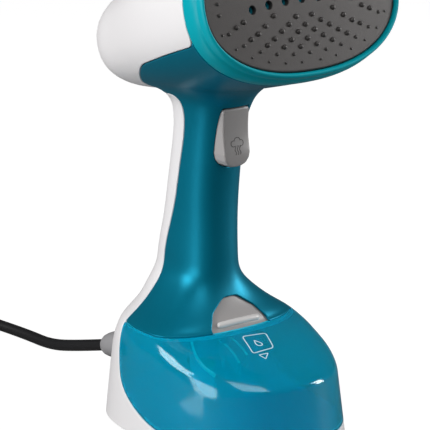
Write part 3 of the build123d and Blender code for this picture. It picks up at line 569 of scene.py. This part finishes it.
# ---- Cord, coil and plug
CORD_R = 3.5
FLOOR_Z = CORD_R + 0.1
SLEEVE = 36.0
BUSH = np.array([0.0, 78.0, 28.5])
BUSH_SLOPE = radians(15.0)
BUSH_AXIS = np.array([0.0, cos(BUSH_SLOPE), -sin(BUSH_SLOPE)])
EXIT = BUSH + BUSH_AXIS * SLEEVE
# The coil winds inwards on the floor, climbs a layer over CLIMB radians, and winds out again on top.
COIL = np.array([-52.0, 276.0])
COIL_R = 50.2
COIL_WIDTH = 22.4
LAYER = 7.3
CLIMB = 2.6
TURN_POINTS = 16
TURNS = 7
FIRST_TURN = radians(-16.0)
LAST_TURN = radians(180.0) + 2 * pi * TURNS
HALF_WAY = 0.5 * (FIRST_TURN + LAST_TURN)
# A curve with so few points to a turn runs a little inside them.
INSIDE_SHARE = cos(pi / TURN_POINTS) ** 0.7


def coil_point(angle):
    """Point of the coil at an angle counted over all its turns."""
    inwards = 1 - abs(angle - HALF_WAY) / (HALF_WAY - FIRST_TURN)
    radius = (COIL_R - COIL_WIDTH * inwards) / INSIDE_SHARE
    climb = np.clip((angle - HALF_WAY + CLIMB / 2) / CLIMB, 0, 1)
    return (COIL[0] + radius * cos(angle), COIL[1] + radius * sin(angle),
            FLOOR_Z + LAYER * climb * climb * (3 - 2 * climb))


route = [tuple(EXIT), tuple(BUSH + BUSH_AXIS * (SLEEVE + 32.0)), (1.0, 172.0, FLOOR_Z + 0.8),
         (3.0, 200.0, FLOOR_Z), (1.0, 232.0, FLOOR_Z)]
count = int((LAST_TURN - FIRST_TURN) / (2 * pi) * TURN_POINTS)
route += [coil_point(FIRST_TURN + (LAST_TURN - FIRST_TURN) * k / count) for k in range(count + 1)]
PLUG_X = -102.0
PLUG_Z = 9.5
route += [(PLUG_X, 266.0, 10.6), (PLUG_X, 258.0, PLUG_Z), (PLUG_X, 250.0, PLUG_Z)]

cord_curve = bpy.data.curves.new("cord_line", "CURVE")
cord_curve.dimensions = "3D"
line = cord_curve.splines.new("NURBS")
line.points.add(len(route) - 1)
for k, place in enumerate(route):
    line.points[k].co = (*(c * MM for c in place), 1.0)
line.order_u = 3
line.use_endpoint_u = True
line.resolution_u = 6
cord_curve.bevel_depth = CORD_R * MM
cord_curve.bevel_resolution = 5
cord_curve.use_fill_caps = True
cord_piece = bpy.data.objects.new("cord_line", cord_curve)
bpy.context.scene.collection.objects.link(cord_piece)
finish_piece(cord_piece, black_cord, "steamer", "black_rubber", "cord", "cord_coil")

# Place along Y, half width and half height of the plug, from its round neck to its squarer body.
PLUG_SECTIONS = [(259.0, 4.6, 4.6), (258.2, 5.2, 5.2), (246.0, 5.4, 5.4), (240.0, 6.6, 6.2),
                 (236.5, 10.6, 7.6), (231.0, 12.1, 8.7), (219.0, 12.4, 8.9), (214.6, 12.2, 8.7),
                 (213.2, 11.4, 7.9)]
PLUG_SIDES = 40
NECK_HALF = 6.0
NECK_POWER = 2.0
BODY_POWER = 3.4
plug_points, plug_faces = [], []
for y, half, high in PLUG_SECTIONS:
    power = NECK_POWER if half < NECK_HALF else BODY_POWER
    for k in range(PLUG_SIDES):
        c, s = cos(2 * pi * k / PLUG_SIDES), sin(2 * pi * k / PLUG_SIDES)
        plug_points.append((PLUG_X + half * abs(c) ** (2 / power) * (1 if c > 0 else -1), y,
                            PLUG_Z + high * abs(s) ** (2 / power) * (1 if s > 0 else -1)))
for row in range(len(PLUG_SECTIONS) - 1):
    for k in range(PLUG_SIDES):
        a, b = row * PLUG_SIDES + k, row * PLUG_SIDES + (k + 1) % PLUG_SIDES
        plug_faces.append([b, a, a + PLUG_SIDES, b + PLUG_SIDES])
plug_faces.append(list(range(PLUG_SIDES)))
plug_faces.append([(len(PLUG_SECTIONS) - 1) * PLUG_SIDES + k for k in range(PLUG_SIDES)][::-1])
plug_piece = mesh_object("plug_body", plug_points, plug_faces, sharp=50)
finish_piece(plug_piece, black_plastic, "steamer", "black_rubber", "plug")

# Distance along the bush, and its radius there.
BUSH_PROFILE = [(-7.5, 5.0), (-6.0, 7.0), (-3.0, 8.6), (0.5, 9.0), (5.0, 9.0), (6.0, 8.2), (7.4, 8.1),
                (8.4, 8.8), (12.0, 8.7), (20.0, 8.4), (26.0, 8.0), (30.0, 7.4), (33.0, 6.6), (35.0, 5.6),
                (36.0, 4.5), (36.0, 3.6)]
bush_piece = mesh_object("cord_guard", *turned(BUSH_PROFILE, BUSH, BUSH_AXIS), sharp=60)
finish_piece(bush_piece, dark_rubber, "steamer", "rubber", "cord_bush")

# ---- Body panels
# The seam runs straight on past the top of the head, and along the rim past the front of the base.
SEAM_STEP = 1.5
RUN_ON = 60.0
FRONT_END = -95.0
seam = line_through(REAR_SEAM, SEAM_STEP)
rear_line = np.concatenate([[seam[0] + unit(seam[0] - seam[1]) * RUN_ON], seam, [[FRONT_END, RIM_Z]]])
CORNER_ROUND = 6.0


def behind_ring(p):
    """Distance behind the ring's rear edge."""
    return head_place(p)[0] - RING_DEPTH


def rear_region(p):
    """Positive on the white rear shell, with a rounded corner at the ring."""
    rear = -beside_line(p[..., 1], p[..., 2], rear_line)
    return np.minimum(smooth_min(rear, behind_ring(p), CORNER_ROUND), p[..., 2] - FOOT_Z)


def in_front(p):
    """Positive on the front shell and on the tank."""
    rear = -beside_line(p[..., 1], p[..., 2], rear_line)
    return np.minimum(-smooth_min(rear, behind_ring(p), CORNER_ROUND), behind_ring(p))


# Front view (X, Z) of the trigger's slot.
SLOT = [(-9.5, 160.0), (-9.5, 185.6), (-9.0, 186.1), (9.0, 186.1), (9.5, 185.6), (9.5, 160.0), (8.7, 156.4),
        (6.9, 153.8), (3.6, 152.0), (0.0, 151.5), (-3.6, 152.0), (-6.9, 153.8), (-8.7, 156.4)]
SLOPE = radians(50.0)
UP_SLOPE = np.array([0.0, cos(SLOPE), sin(SLOPE)])
OUT_SLOPE = np.array([0.0, -sin(SLOPE), cos(SLOPE)])
LATCH_CENTRE = np.array([0.0, -11.5, 68.0])
# The latch's outline (X, up the slope), before it grows by LATCH_ROUND.
LATCH_CORE = [(-13.0, -40.0), (-13.0, -7.0), (-9.5, -1.0), (-2.5, 4.0), (2.5, 4.0), (9.5, -1.0), (13.0, -7.0),
              (13.0, -40.0)]
LATCH_ROUND = 7.0
LATCH_SINK = 1.45
# The trigger's slot and the latch are only ahead of FRONT_Y; elsewhere their fields are at FAR.
FRONT_Y = 5.0
FAR = 60.0


def latch_field(p, grow=0.0):
    """Distance outside the latch's outline, seen square to the flare."""
    away = outline_field(p[..., 0], (p - LATCH_CENTRE) @ UP_SLOPE, LATCH_CORE) - LATCH_ROUND - grow
    return np.where(p[..., 1] < FRONT_Y, away, FAR)


def front_region(p):
    """Positive on the teal front shell."""
    slot = np.where(p[..., 1] < FRONT_Y, outline_field(p[..., 0], p[..., 2], SLOT), FAR)
    return np.minimum.reduce([in_front(p), p[..., 2] - BELL_Z, slot, latch_field(p)])


def tank_region(p):
    """Positive on the tank's outer wall."""
    return np.minimum(in_front(p), BELL_Z - p[..., 2])


STEP = 1.5
BODY_LOW = (-73.0, -80.0, -2.0)
BODY_HIGH = (73.0, 90.0, 302.0)
base = net(outer_field, BODY_LOW, BODY_HIGH, STEP)
base = (relax(outer_field, *base), base[1])
SHELL_WALL = 2.2
THIN_WALL = 1.1
THIN_REACH = 9.0
TANK_WALL = 2.0


def shell_wall(p):
    """Thickness of the front shell, thinner over the latch."""
    return np.where(latch_field(p) < THIN_REACH, THIN_WALL, SHELL_WALL)


points, faces, normals = panel(outer_field, base, rear_region, SHELL_WALL)
finish_piece(mesh_object("white_shell", points, faces, normals), white_plastic, "steamer", "white_shell",
             "rear_shell")
points, faces, normals = panel(outer_field, base, front_region, SHELL_WALL, inner=shell_wall)
finish_piece(mesh_object("teal_shell", points, faces, normals), teal_soft, "steamer", "dark_teal",
             "front_shell")
points, faces, normals = panel(outer_field, base, tank_region, TANK_WALL, edge=0.5)
finish_piece(mesh_object("tank_wall", points, faces, normals), tank_clear, "tank_unit", "clear_teal",
             "water_tank")

# ---- Ring and steam plate
RING_HALF = (70.0, 44.0)
PLATE_HALF = (65.5, 38.3)
PLATE_GAP = 0.35
OUTLINE_SIDES = 144


def oval_outline(half, high):
    """Points (u, v) of an oval outline."""
    turns = np.arange(OUTLINE_SIDES) * 2 * pi / OUTLINE_SIDES
    c, s = np.cos(turns), np.sin(turns)
    return np.stack([half * np.sign(c) * np.abs(c) ** (2 / ROUNDNESS),
                     high * np.sign(s) * np.abs(s) ** (2 / ROUNDNESS)], -1)


def on_plate(u, v, behind):
    """Point at (u, v) across the plate and a distance behind its face."""
    u, v, behind = np.broadcast_arrays(np.asarray(u, float), v, behind)
    return (PLATE_CENTRE + np.stack([u, u * 0, u * 0], -1) + np.multiply.outer(v, UP_PLATE)
            + np.multiply.outer(behind, BACK))


def swept_rows(rows, closed):
    """Faces of outline rows joined one to the next."""
    faces = []
    for row in range(len(rows) if closed else len(rows) - 1):
        below = (row + 1) % len(rows)
        for k in range(OUTLINE_SIDES):
            nxt = (k + 1) % OUTLINE_SIDES
            faces.append([row * OUTLINE_SIDES + k, below * OUTLINE_SIDES + k, below * OUTLINE_SIDES + nxt,
                          row * OUTLINE_SIDES + nxt])
    return faces


# Distance behind the plate's face, and share of the way from the plate's edge to the ring's edge.
RING_PROFILE = [(4.6, 0.0), (0.6, 0.0), (-0.7, 0.01), (-1.5, 0.07), (-1.9, 0.17), (-2.0, 0.28), (-1.75, 0.40),
                (-1.1, 0.50), (-0.2, 0.565), (0.9, 0.60), (1.7, 0.615), (2.3, 0.64), (2.7, 0.69), (3.3, 0.78),
                (4.4, 0.88), (6.2, 0.97), (8.6, 1.02), (11.0, 1.02), (11.9, 1.0), (12.2, 0.95), (12.3, 0.85),
                (12.3, 0.3)]
ring_rows = []
inner_line = oval_outline(PLATE_HALF[0] + PLATE_GAP, PLATE_HALF[1] + PLATE_GAP)
outer_line = oval_outline(*RING_HALF)
for behind, share in RING_PROFILE:
    flat = inner_line + (outer_line - inner_line) * share
    ring_rows.append(on_plate(flat[:, 0], flat[:, 1], behind))
ring_piece = mesh_object("plate_ring", np.concatenate(ring_rows), swept_rows(ring_rows, True), sharp=60)
ring_smooth = ring_piece.modifiers.new("smooth", "SUBSURF")
ring_smooth.levels = ring_smooth.render_levels = 1
finish_piece(ring_piece, teal_ring, "steamer", "light_teal", "head_ring")

HOLE_R = 2.3
HOLE_RIM = HOLE_R + 0.35
HOLE_PITCH = 11.4
HOLE_DIP = 0.27
HOLE_PLACES = [(HOLE_PITCH * k, -HOLE_DIP * k * k) for k in range(-3, 4)]
HOLE_SIDES = 32
circle = np.arange(HOLE_SIDES) * 2 * pi / HOLE_SIDES
# Distance behind the plate's face, and how far inside the plate's outline, of its rounded edge.
PLATE_EDGE = [(4.0, 0.0), (1.0, 0.0), (0.55, 0.08), (0.22, 0.3), (0.05, 0.65), (0.0, 1.1)]
# Distance behind the plate's face and radius, of the wall of a hole and of the jet in it.
HOLE_PROFILE = [(0.0, HOLE_RIM), (0.04, HOLE_R + 0.16), (0.16, HOLE_R + 0.04), (0.4, HOLE_R), (3.4, HOLE_R)]
JET_PROFILE = [(3.3, HOLE_R + 0.5), (2.9, HOLE_R - 0.1), (2.7, HOLE_R - 0.5),
               (2.7, 0.8), (3.6, 0.7), (3.8, 0.05)]


def plate_face():
    """The plate's rounded edge, and its flat face around the holes."""
    rows = []
    for behind, inset in PLATE_EDGE:
        flat = oval_outline(PLATE_HALF[0] - inset, PLATE_HALF[1] - inset)
        rows.append(on_plate(flat[:, 0], flat[:, 1], behind))
    loops = [[tuple(c) for c in flat]]
    loops += [[(u + HOLE_RIM * cos(t), v + HOLE_RIM * sin(t)) for t in circle] for u, v in HOLE_PLACES]
    edges, start = [], 0
    for loop in loops:
        edges += [(start + k, start + (k + 1) % len(loop)) for k in range(len(loop))]
        start += len(loop)
    corners = [Vector(c) for loop in loops for c in loop]
    found, _, faces, *_ = delaunay_2d_cdt(corners, edges, [], 1, 1e-5)
    found = np.array([tuple(c) for c in found])
    middles = [found[list(face)].mean(0) for face in faces]
    solid = [min(np.hypot(*(m - np.array(h))) for h in HOLE_PLACES) > HOLE_R + 0.2 for m in middles]
    return [(np.concatenate(rows), [face[::-1] for face in swept_rows(rows, False)]),
            (on_plate(found[:, 0], found[:, 1], 0.0), [list(f) for f, kept in zip(faces, solid) if kept])]


def hole_wall(u, v):
    """The rounded rim and the wall of a hole."""
    rows = [on_plate(u + r * np.cos(circle), v + r * np.sin(circle), d) for d, r in HOLE_PROFILE]
    faces = [[r * HOLE_SIDES + k, (r + 1) * HOLE_SIDES + k, (r + 1) * HOLE_SIDES + (k + 1) % HOLE_SIDES,
              r * HOLE_SIDES + (k + 1) % HOLE_SIDES] for r in range(len(rows) - 1) for k in range(HOLE_SIDES)]
    return np.concatenate(rows), faces


BUMP_PITCH = 11.2
BUMP_HEIGHT = 0.85
BUMP_ROOT = 0.12
BUMP_RINGS, BUMP_SIDES = 5, 14
# Radius of the bumps, and where each row starts, its half height, its half width and its upper end.
BUMP_ROWS = [(0.75, 6.5, 33.4, 60.0, -3.0), (1.05, 0.0, 28.8, 56.6, -0.5), (1.4, 5.6, 25.0, 49.6, -0.5),
             (1.45, 0.0, 21.2, 43.5, 0.5), (1.45, 5.6, 17.2, 34.5, -4.0), (1.45, 0.0, 13.8, 23.0, -6.0),
             (1.45, 5.6, 9.8, 12.0, -8.0)]


def bump_row(start, high, half, upper_end):
    """Bump places along a quarter of an oval row, the same distance apart."""
    turns = np.linspace(-pi / 2, 0, 400)
    c, s = np.cos(turns), np.sin(turns)
    u = half * np.abs(c) ** (2 / ROUNDNESS)
    v = -high * np.abs(s) ** (2 / ROUNDNESS)
    along = np.concatenate([[0], np.cumsum(np.hypot(np.diff(u), np.diff(v)))])
    places = []
    distance = start
    while distance < along[-1]:
        a, b = np.interp(distance, along, u), np.interp(distance, along, v)
        if b < upper_end:
            places.append((a, b))
        distance += BUMP_PITCH
    return places


def bump(u, v, radius):
    """A low dome on the plate, rooted a little behind its face."""
    height = BUMP_HEIGHT * radius
    points, faces = [], []
    for r in range(BUMP_RINGS):
        lift = radians(90 * r / BUMP_RINGS)
        for k in range(BUMP_SIDES):
            turn = 2 * pi * k / BUMP_SIDES
            points.append((u + radius * cos(lift) * cos(turn), v + radius * cos(lift) * sin(turn),
                           BUMP_ROOT - (height + BUMP_ROOT) * sin(lift)))
    points.append((u, v, -height))
    for r in range(BUMP_RINGS - 1):
        for k in range(BUMP_SIDES):
            nxt = (k + 1) % BUMP_SIDES
            faces.append([r * BUMP_SIDES + k, r * BUMP_SIDES + nxt, (r + 1) * BUMP_SIDES + nxt,
                          (r + 1) * BUMP_SIDES + k])
    last = (BUMP_RINGS - 1) * BUMP_SIDES
    faces += [[last + k, last + (k + 1) % BUMP_SIDES, BUMP_RINGS * BUMP_SIDES] for k in range(BUMP_SIDES)]
    return on_plate(*np.array(points).T), faces


plate_parts = plate_face() + [hole_wall(u, v) for u, v in HOLE_PLACES]
for radius, start, high, half, upper_end in BUMP_ROWS:
    quarter = bump_row(start, high, half, upper_end)
    places = {(round(a * su, 3), round(b * sv, 3)) for a, b in quarter for su in (-1, 1) for sv in (-1, 1)}
    plate_parts += [bump(u, v, radius) for u, v in sorted(places)]
plate_piece = mesh_object("steam_face", *joined(plate_parts), sharp=40)
finish_piece(plate_piece, plate_metal, "steamer", "plate_metal", "steam_plate")
jet_parts = [turned(JET_PROFILE, on_plate(u, v, 0.0), BACK, sides=24, caps=(False, True))
             for u, v in HOLE_PLACES]
finish_piece(mesh_object("steam_jets", *joined(jet_parts)), hole_teal, "steamer", "light_teal")

# ---- Trigger
# Side view (Z, Y) of the face, and front view (X, Z) of the sides and the chin.
TRIGGER_FACE = [(150.0, -9.4), (154.0, -10.7), (159.0, -11.4), (165.0, -10.6), (172.0, -9.9),
                (180.0, -10.1), (187.0, -10.7)]
face_line = spline(*zip(*TRIGGER_FACE))
TRIGGER_FRONT = [(-9.4, 190.0), (-9.4, 160.0), (-8.6, 156.6), (-6.8, 154.0), (-3.6, 152.2), (0.0, 151.7),
                 (3.6, 152.2), (6.8, 154.0), (8.6, 156.6), (9.4, 160.0), (9.4, 190.0)]
TRIGGER_TOP = 185.9
TRIGGER_REAR = 6.0
# The face is crowned across, and the chin's underside rises from CHIN_Y towards the rear.
CROWN = 0.0065
CHIN_Z = 151.7
CHIN_Y = -10.2
CHIN_SLOPE = 0.12
CHIN_ROUND, TOP_ROUND, FACE_ROUND = 2.0, 2.6, 1.7


def trigger_field(p):
    """Field of the trigger: a thumb-wide bar with a rounded chin."""
    x, y, z = p[..., 0], p[..., 1], p[..., 2]
    front = face_line(z) - y + CROWN * x * x
    side = outline_field(x, z, TRIGGER_FRONT)
    chin = CHIN_Z + CHIN_SLOPE * np.maximum(y - CHIN_Y, 0) - z
    body = smooth_max(smooth_max(side, chin, CHIN_ROUND), z - TRIGGER_TOP, TOP_ROUND)
    return np.maximum(smooth_max(body, front, FACE_ROUND), y - TRIGGER_REAR)


TRIGGER_STEP = 0.4
points, faces = net(trigger_field, (-10.5, -13.5, 149.5), (10.5, 7.5, 188.0), TRIGGER_STEP)
points = relax(trigger_field, points, faces, 2)
trigger_piece = mesh_object("steam_trigger", points, faces, unit(gradient(trigger_field, points)), sharp=180)
finish_piece(trigger_piece, grey_plastic, "trigger_lever", "grey_plastic", "trigger")

# ---- Latch
LATCH_HIDDEN = 2.0
LATCH_GAP = 0.35
LATCH_WALL = 1.7


def latch_region(p):
    """Positive on the latch, which reaches under the shell on three sides."""
    return np.minimum(-latch_field(p, LATCH_HIDDEN), p[..., 2] - (BELL_Z + LATCH_GAP))


near_latch = (latch_field(base[0]) < 3 * LATCH_HIDDEN)[base[1]].any(1)
points, faces, normals = panel(outer_field, trim(base[0], base[1][near_latch]), latch_region, LATCH_WALL,
                               edge=0.4, sink=LATCH_SINK)
latch_piece = mesh_object("tank_button", points, faces, normals)
finish_piece(latch_piece, grey_plastic, "tank_latch", "grey_plastic", "latch")


def on_flare(x, along, sink=0.0):
    """Point on the body's outer surface, at x and a distance up the slope from the latch's middle."""
    p = LATCH_CENTRE + np.multiply.outer(np.asarray(along, float), UP_SLOPE)
    p = p + np.multiply.outer(np.asarray(x, float), np.array([1.0, 0.0, 0.0]))
    for _ in range(8):
        slope = (outer_field(p + OUT_SLOPE * 0.02) - outer_field(p - OUT_SLOPE * 0.02)) / 0.04
        p = p - OUT_SLOPE * (outer_field(p) / slope)[..., None]
    return p - unit(gradient(outer_field, p)) * sink


RIDGE_HALF = 13.5
RIDGE_R = 1.9
RIDGE_PLACE = -3.6
ridge_x = np.concatenate([-RIDGE_HALF - RIDGE_R * np.cos(np.linspace(0, pi / 2, 7)),
                          np.linspace(-RIDGE_HALF, RIDGE_HALF, 25)[1:-1],
                          RIDGE_HALF + RIDGE_R * np.cos(np.linspace(pi / 2, 0, 7))])
ridge_r = np.sqrt(np.maximum(RIDGE_R ** 2 - np.maximum(np.abs(ridge_x) - RIDGE_HALF, 0) ** 2, 0.0025))
ridge_line = on_flare(ridge_x, np.full(len(ridge_x), RIDGE_PLACE), LATCH_SINK + 0.3)
ridge_piece = mesh_object("tank_button_grip", *tube_along(ridge_line, ridge_r, 20), sharp=70)
finish_piece(ridge_piece, ridge_plastic, "tank_latch", "grey_plastic")


# ---- Inside of the tank
LINING_GAP = 0.4
LINING_WALL = 2.0
LINING_DEPTH = 1.8
LINING_LOW = (-58.0, -74.0, 7.0)
LINING_HIGH = (58.0, 40.0, 62.0)
LINING_STEP = 1.0


def tank_lining(p):
    """Field of the tank's rear wall, roof and floor, inside its outer wall."""
    rear = LINING_GAP - beside_line(p[..., 1], p[..., 2], rear_line)
    above, below = p[..., 2] - (BELL_Z - LINING_GAP), RIM_Z + LINING_GAP - p[..., 2]
    room = np.maximum.reduce([rear, above, below, outer_field(p) + LINING_DEPTH])
    hollow = np.maximum.reduce([rear, above, below]) + LINING_WALL
    return np.maximum(room, -hollow)


points, faces = net(tank_lining, LINING_LOW, LINING_HIGH, LINING_STEP)
lining_piece = mesh_object("tank_lining", points, faces, sharp=40)
# The lining's lighter teal is painted light for light coming in through the clear tank.
finish_piece(lining_piece, tank_inside_painted_light, "tank_unit", "clear_teal")


# Height near the tank's top, from which its exact height is found.
ROOF_START = 50.0


def under_roof(x, y, depth):
    """Point under the tank's top, at (x, y) and a depth below the surface."""
    p = np.stack([x, y, np.full(len(x), ROOF_START)], -1)
    for _ in range(12):
        slope = (outer_field(p + [0, 0, 0.02]) - outer_field(p - [0, 0, 0.02])) / 0.04
        p[:, 2] -= outer_field(p) / np.maximum(slope, 0.2)
    return p - [0, 0, depth]


RIB_HALF = 0.7
RIB_TOP = 1.7
# Places (X, Y) along each rib, and how far it reaches down.
RIBS = [([(-34.0, -12.0), (-38.5, -20.0), (-41.0, -29.0), (-39.5, -40.0)], 14.0),
        ([(-19.5, -19.0), (-21.0, -30.0), (-23.5, -41.0)], 8.0),
        ([(-12.5, -20.0), (-13.5, -29.0), (-15.5, -38.0)], 8.0)]
rib_parts = []
for plan, depth in RIBS:
    path = line_through(plan, 1.5)
    along = unit(np.gradient(path, axis=0))
    side = np.stack([-along[:, 1], along[:, 0]], -1) * RIB_HALF
    corners = [under_roof(*(path + side).T, RIB_TOP), under_roof(*(path - side).T, RIB_TOP)]
    corners += [corners[1] - [0, 0, depth], corners[0] - [0, 0, depth]]
    n = len(path)
    faces = [[(r + 1) % 4 * n + k, (r + 1) % 4 * n + k + 1, r * n + k + 1, r * n + k]
             for r in range(4) for k in range(n - 1)]
    ends = [r * n for r in range(4)]
    rib_parts.append((np.concatenate(corners), faces + [ends, [e + n - 1 for e in ends][::-1]]))
# The ribs carry a painted highlight: their pale colour stands in for their lit sides.
finish_piece(mesh_object("tank_ribs", *joined(rib_parts)), tank_rib_painted_highlight, "tank_unit", "clear_teal")


# ---- Raised marks
MARK_HEIGHT = 0.08


def strip(path, place, half, closed):
    """Thin raised line along flat points that place puts on a surface, with its normals."""
    path = np.array(path, float)
    points, normals = place(path)
    if closed:
        tangent = np.roll(points, -1, 0) - np.roll(points, 1, 0)
    else:
        tangent = np.gradient(points, axis=0)
    side = unit(np.cross(normals, tangent)) * half
    lift = normals * MARK_HEIGHT
    corners = [points + side + lift, points - side + lift, points - side - lift, points + side - lift]
    n = len(points)
    faces = [[r * n + (k + 1) % n, (r + 1) % 4 * n + (k + 1) % n, (r + 1) % 4 * n + k, r * n + k]
             for r in range(4) for k in range(n if closed else n - 1)]
    ends = [] if closed else [[r * n for r in range(4)][::-1], [r * n + n - 1 for r in range(4)]]
    return np.concatenate(corners), faces + ends


def rounded(corners, cut):
    """Closed outline through corners, each rounded from a distance before it."""
    corners = np.array(corners, float)
    points = []
    for before, here, after in zip(np.roll(corners, 1, 0), corners, np.roll(corners, -1, 0)):
        start, end = here + unit(before - here) * cut, here + unit(after - here) * cut
        points += [(1 - t) ** 2 * start + 2 * t * (1 - t) * here + t * t * end for t in np.linspace(0, 1, 7)]
        straight = 1 - 2 * cut / np.linalg.norm(after - here)
        points += [end + (after - here) * share for share in np.linspace(0, straight, 6)[1:-1]]
    return points


def arc(x, y, radius, first, last, steps=12):
    """Points along part of a circle, from one angle to another in degrees."""
    turns = np.radians(np.linspace(first, last, steps))
    return np.stack([x + radius * np.cos(turns), y + radius * np.sin(turns)], -1)


def on_tank(path):
    """Places (x, y) on the tank's top."""
    points = under_roof(path[:, 0].copy(), path[:, 1].copy(), 0.0)
    return points, unit(gradient(outer_field, points))


def on_trigger(path):
    """Places (x, z) on the trigger's face."""
    points = settle(trigger_field, np.stack([path[:, 0], np.full(len(path), -11.0), path[:, 1]], -1), 4)
    return points, unit(gradient(trigger_field, points))


FILL_LINE = 0.3
ARROW_LINE = 0.25
# Outlines (X, Y) on the tank's top: a slanted frame, a drop in it, and a small triangle beside it.
FILL_FRAME = [(-6.8, -23.3), (8.6, -25.3), (2.3, -39.7), (-12.7, -39.9)]
FILL_ARROW = [(-10.2, -42.2), (-4.2, -42.6), (-8.6, -46.0)]
turns = np.linspace(0, 2 * pi, 24, endpoint=False)
fill_drop = np.stack([-3.2 + 2.6 * np.sin(turns) * np.sin(turns / 2) ** 1.5, -32.5 + 3.0 * np.cos(turns)], -1)
fill_marks = [strip(rounded(FILL_FRAME, 2.2), on_tank, FILL_LINE, True),
              strip(fill_drop, on_tank, FILL_LINE, True),
              strip(rounded(FILL_ARROW, 0.4), on_tank, ARROW_LINE, True)]
finish_piece(mesh_object("fill_mark", *joined(fill_marks)), icon_white, "tank_unit", "clear_teal")

STEAM_LINE = 0.22
# Middle (X, Z), radius, and first and last angle of each of the cloud's arcs.
CLOUD = [(-2.7, 166.0, 1.7, 60, 300), (0.0, 167.0, 2.3, 10, 170), (2.7, 166.0, 1.7, -120, 120)]
WAVE_LOW, WAVE_HIGH = 159.6, 164.8
WAVE_HALF, WAVE_RATE = 0.4, 1.6
rise = np.linspace(WAVE_LOW, WAVE_HIGH, 14)
sway = WAVE_HALF * np.sin((rise - WAVE_LOW) * WAVE_RATE)
steam_paths = [arc(*part) for part in CLOUD] + [np.stack([x + sway, rise], -1) for x in (-1.6, 0.0, 1.6)]
steam_marks = [strip(path, on_trigger, STEAM_LINE, False) for path in steam_paths]
finish_piece(mesh_object("steam_mark", *joined(steam_marks)), icon_grey, "trigger_lever", "grey_plastic")

# ---- Floor, light and finish
FLOOR_HALF = 6.0
PAPER_SHADE = 0.14
PAPER_GLOW = 0.95
WORLD_LIGHT = 0.06
floor_mesh = bpy.data.meshes.new("floor")
floor_corners = [(x * FLOOR_HALF, y * FLOOR_HALF, 0) for x, y in ((-1, -1), (1, -1), (1, 1), (-1, 1))]
floor_mesh.from_pydata(floor_corners, [], [(0, 1, 2, 3)])
floor = bpy.data.objects.new("floor", floor_mesh)
bpy.context.scene.collection.objects.link(floor)
paper = material("floor_paper", (PAPER_SHADE, PAPER_SHADE, PAPER_SHADE, 1.0), 0.7, grain=300, bump=0.01,
                 vary=0.005, Emission_Color=(1.0, 1.0, 1.0, 1.0))
floor_mesh.materials.append(paper)
# The paper looks white from every side, and throws only a little light on the object.
paper_nodes, paper_links = paper.node_tree.nodes, paper.node_tree.links
light_path = paper_nodes.new("ShaderNodeLightPath")
glow = paper_nodes.new("ShaderNodeMath")
glow.operation = "MULTIPLY"
glow.inputs[1].default_value = PAPER_GLOW
paper_links.new(light_path.outputs["Is Camera Ray"], glow.inputs[0])
paper_links.new(glow.outputs[0], paper_nodes["Principled BSDF"].inputs["Emission Strength"])
floor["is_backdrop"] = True


def lamp(name, place, target, size, power):
    """Soft box light."""
    data = bpy.data.lights.new(name, "AREA")
    data.shape = "RECTANGLE"
    data.size, data.size_y = size
    data.energy = power
    light = bpy.data.objects.new(name, data)
    light.location = place
    light.rotation_euler = (Vector(target) - Vector(place)).to_track_quat("-Z", "Y").to_euler()
    bpy.context.scene.collection.objects.link(light)


lamp("key", (-1.6, -0.15, 0.35), (0, 0, 0.3), (0.7, 0.7), 9)
lamp("side", (-1.45, 0.5, 1.0), (0, 0, 0.15), (0.8, 0.8), 20)
lamp("rim", (1.35, -0.75, 0.5), (0, 0, 0.15), (0.35, 0.8), 16)
lamp("top", (-0.3, -0.9, 1.5), (0, 0, 0.15), (0.9, 0.9), 10)
lamp("strip", (-0.55, -0.01, 0.012), (-0.55, -0.01, 1), (0.8, 0.07), 0.35)

world = bpy.data.worlds.new("studio")
bpy.context.scene.world = world
world.use_nodes = True
background = world.node_tree.nodes["Background"]
background.inputs["Color"].default_value = (1.0, 1.0, 1.0, 1.0)
background.inputs["Strength"].default_value = WORLD_LIGHT
bpy.context.scene.view_settings.view_transform = "Standard"

low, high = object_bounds()
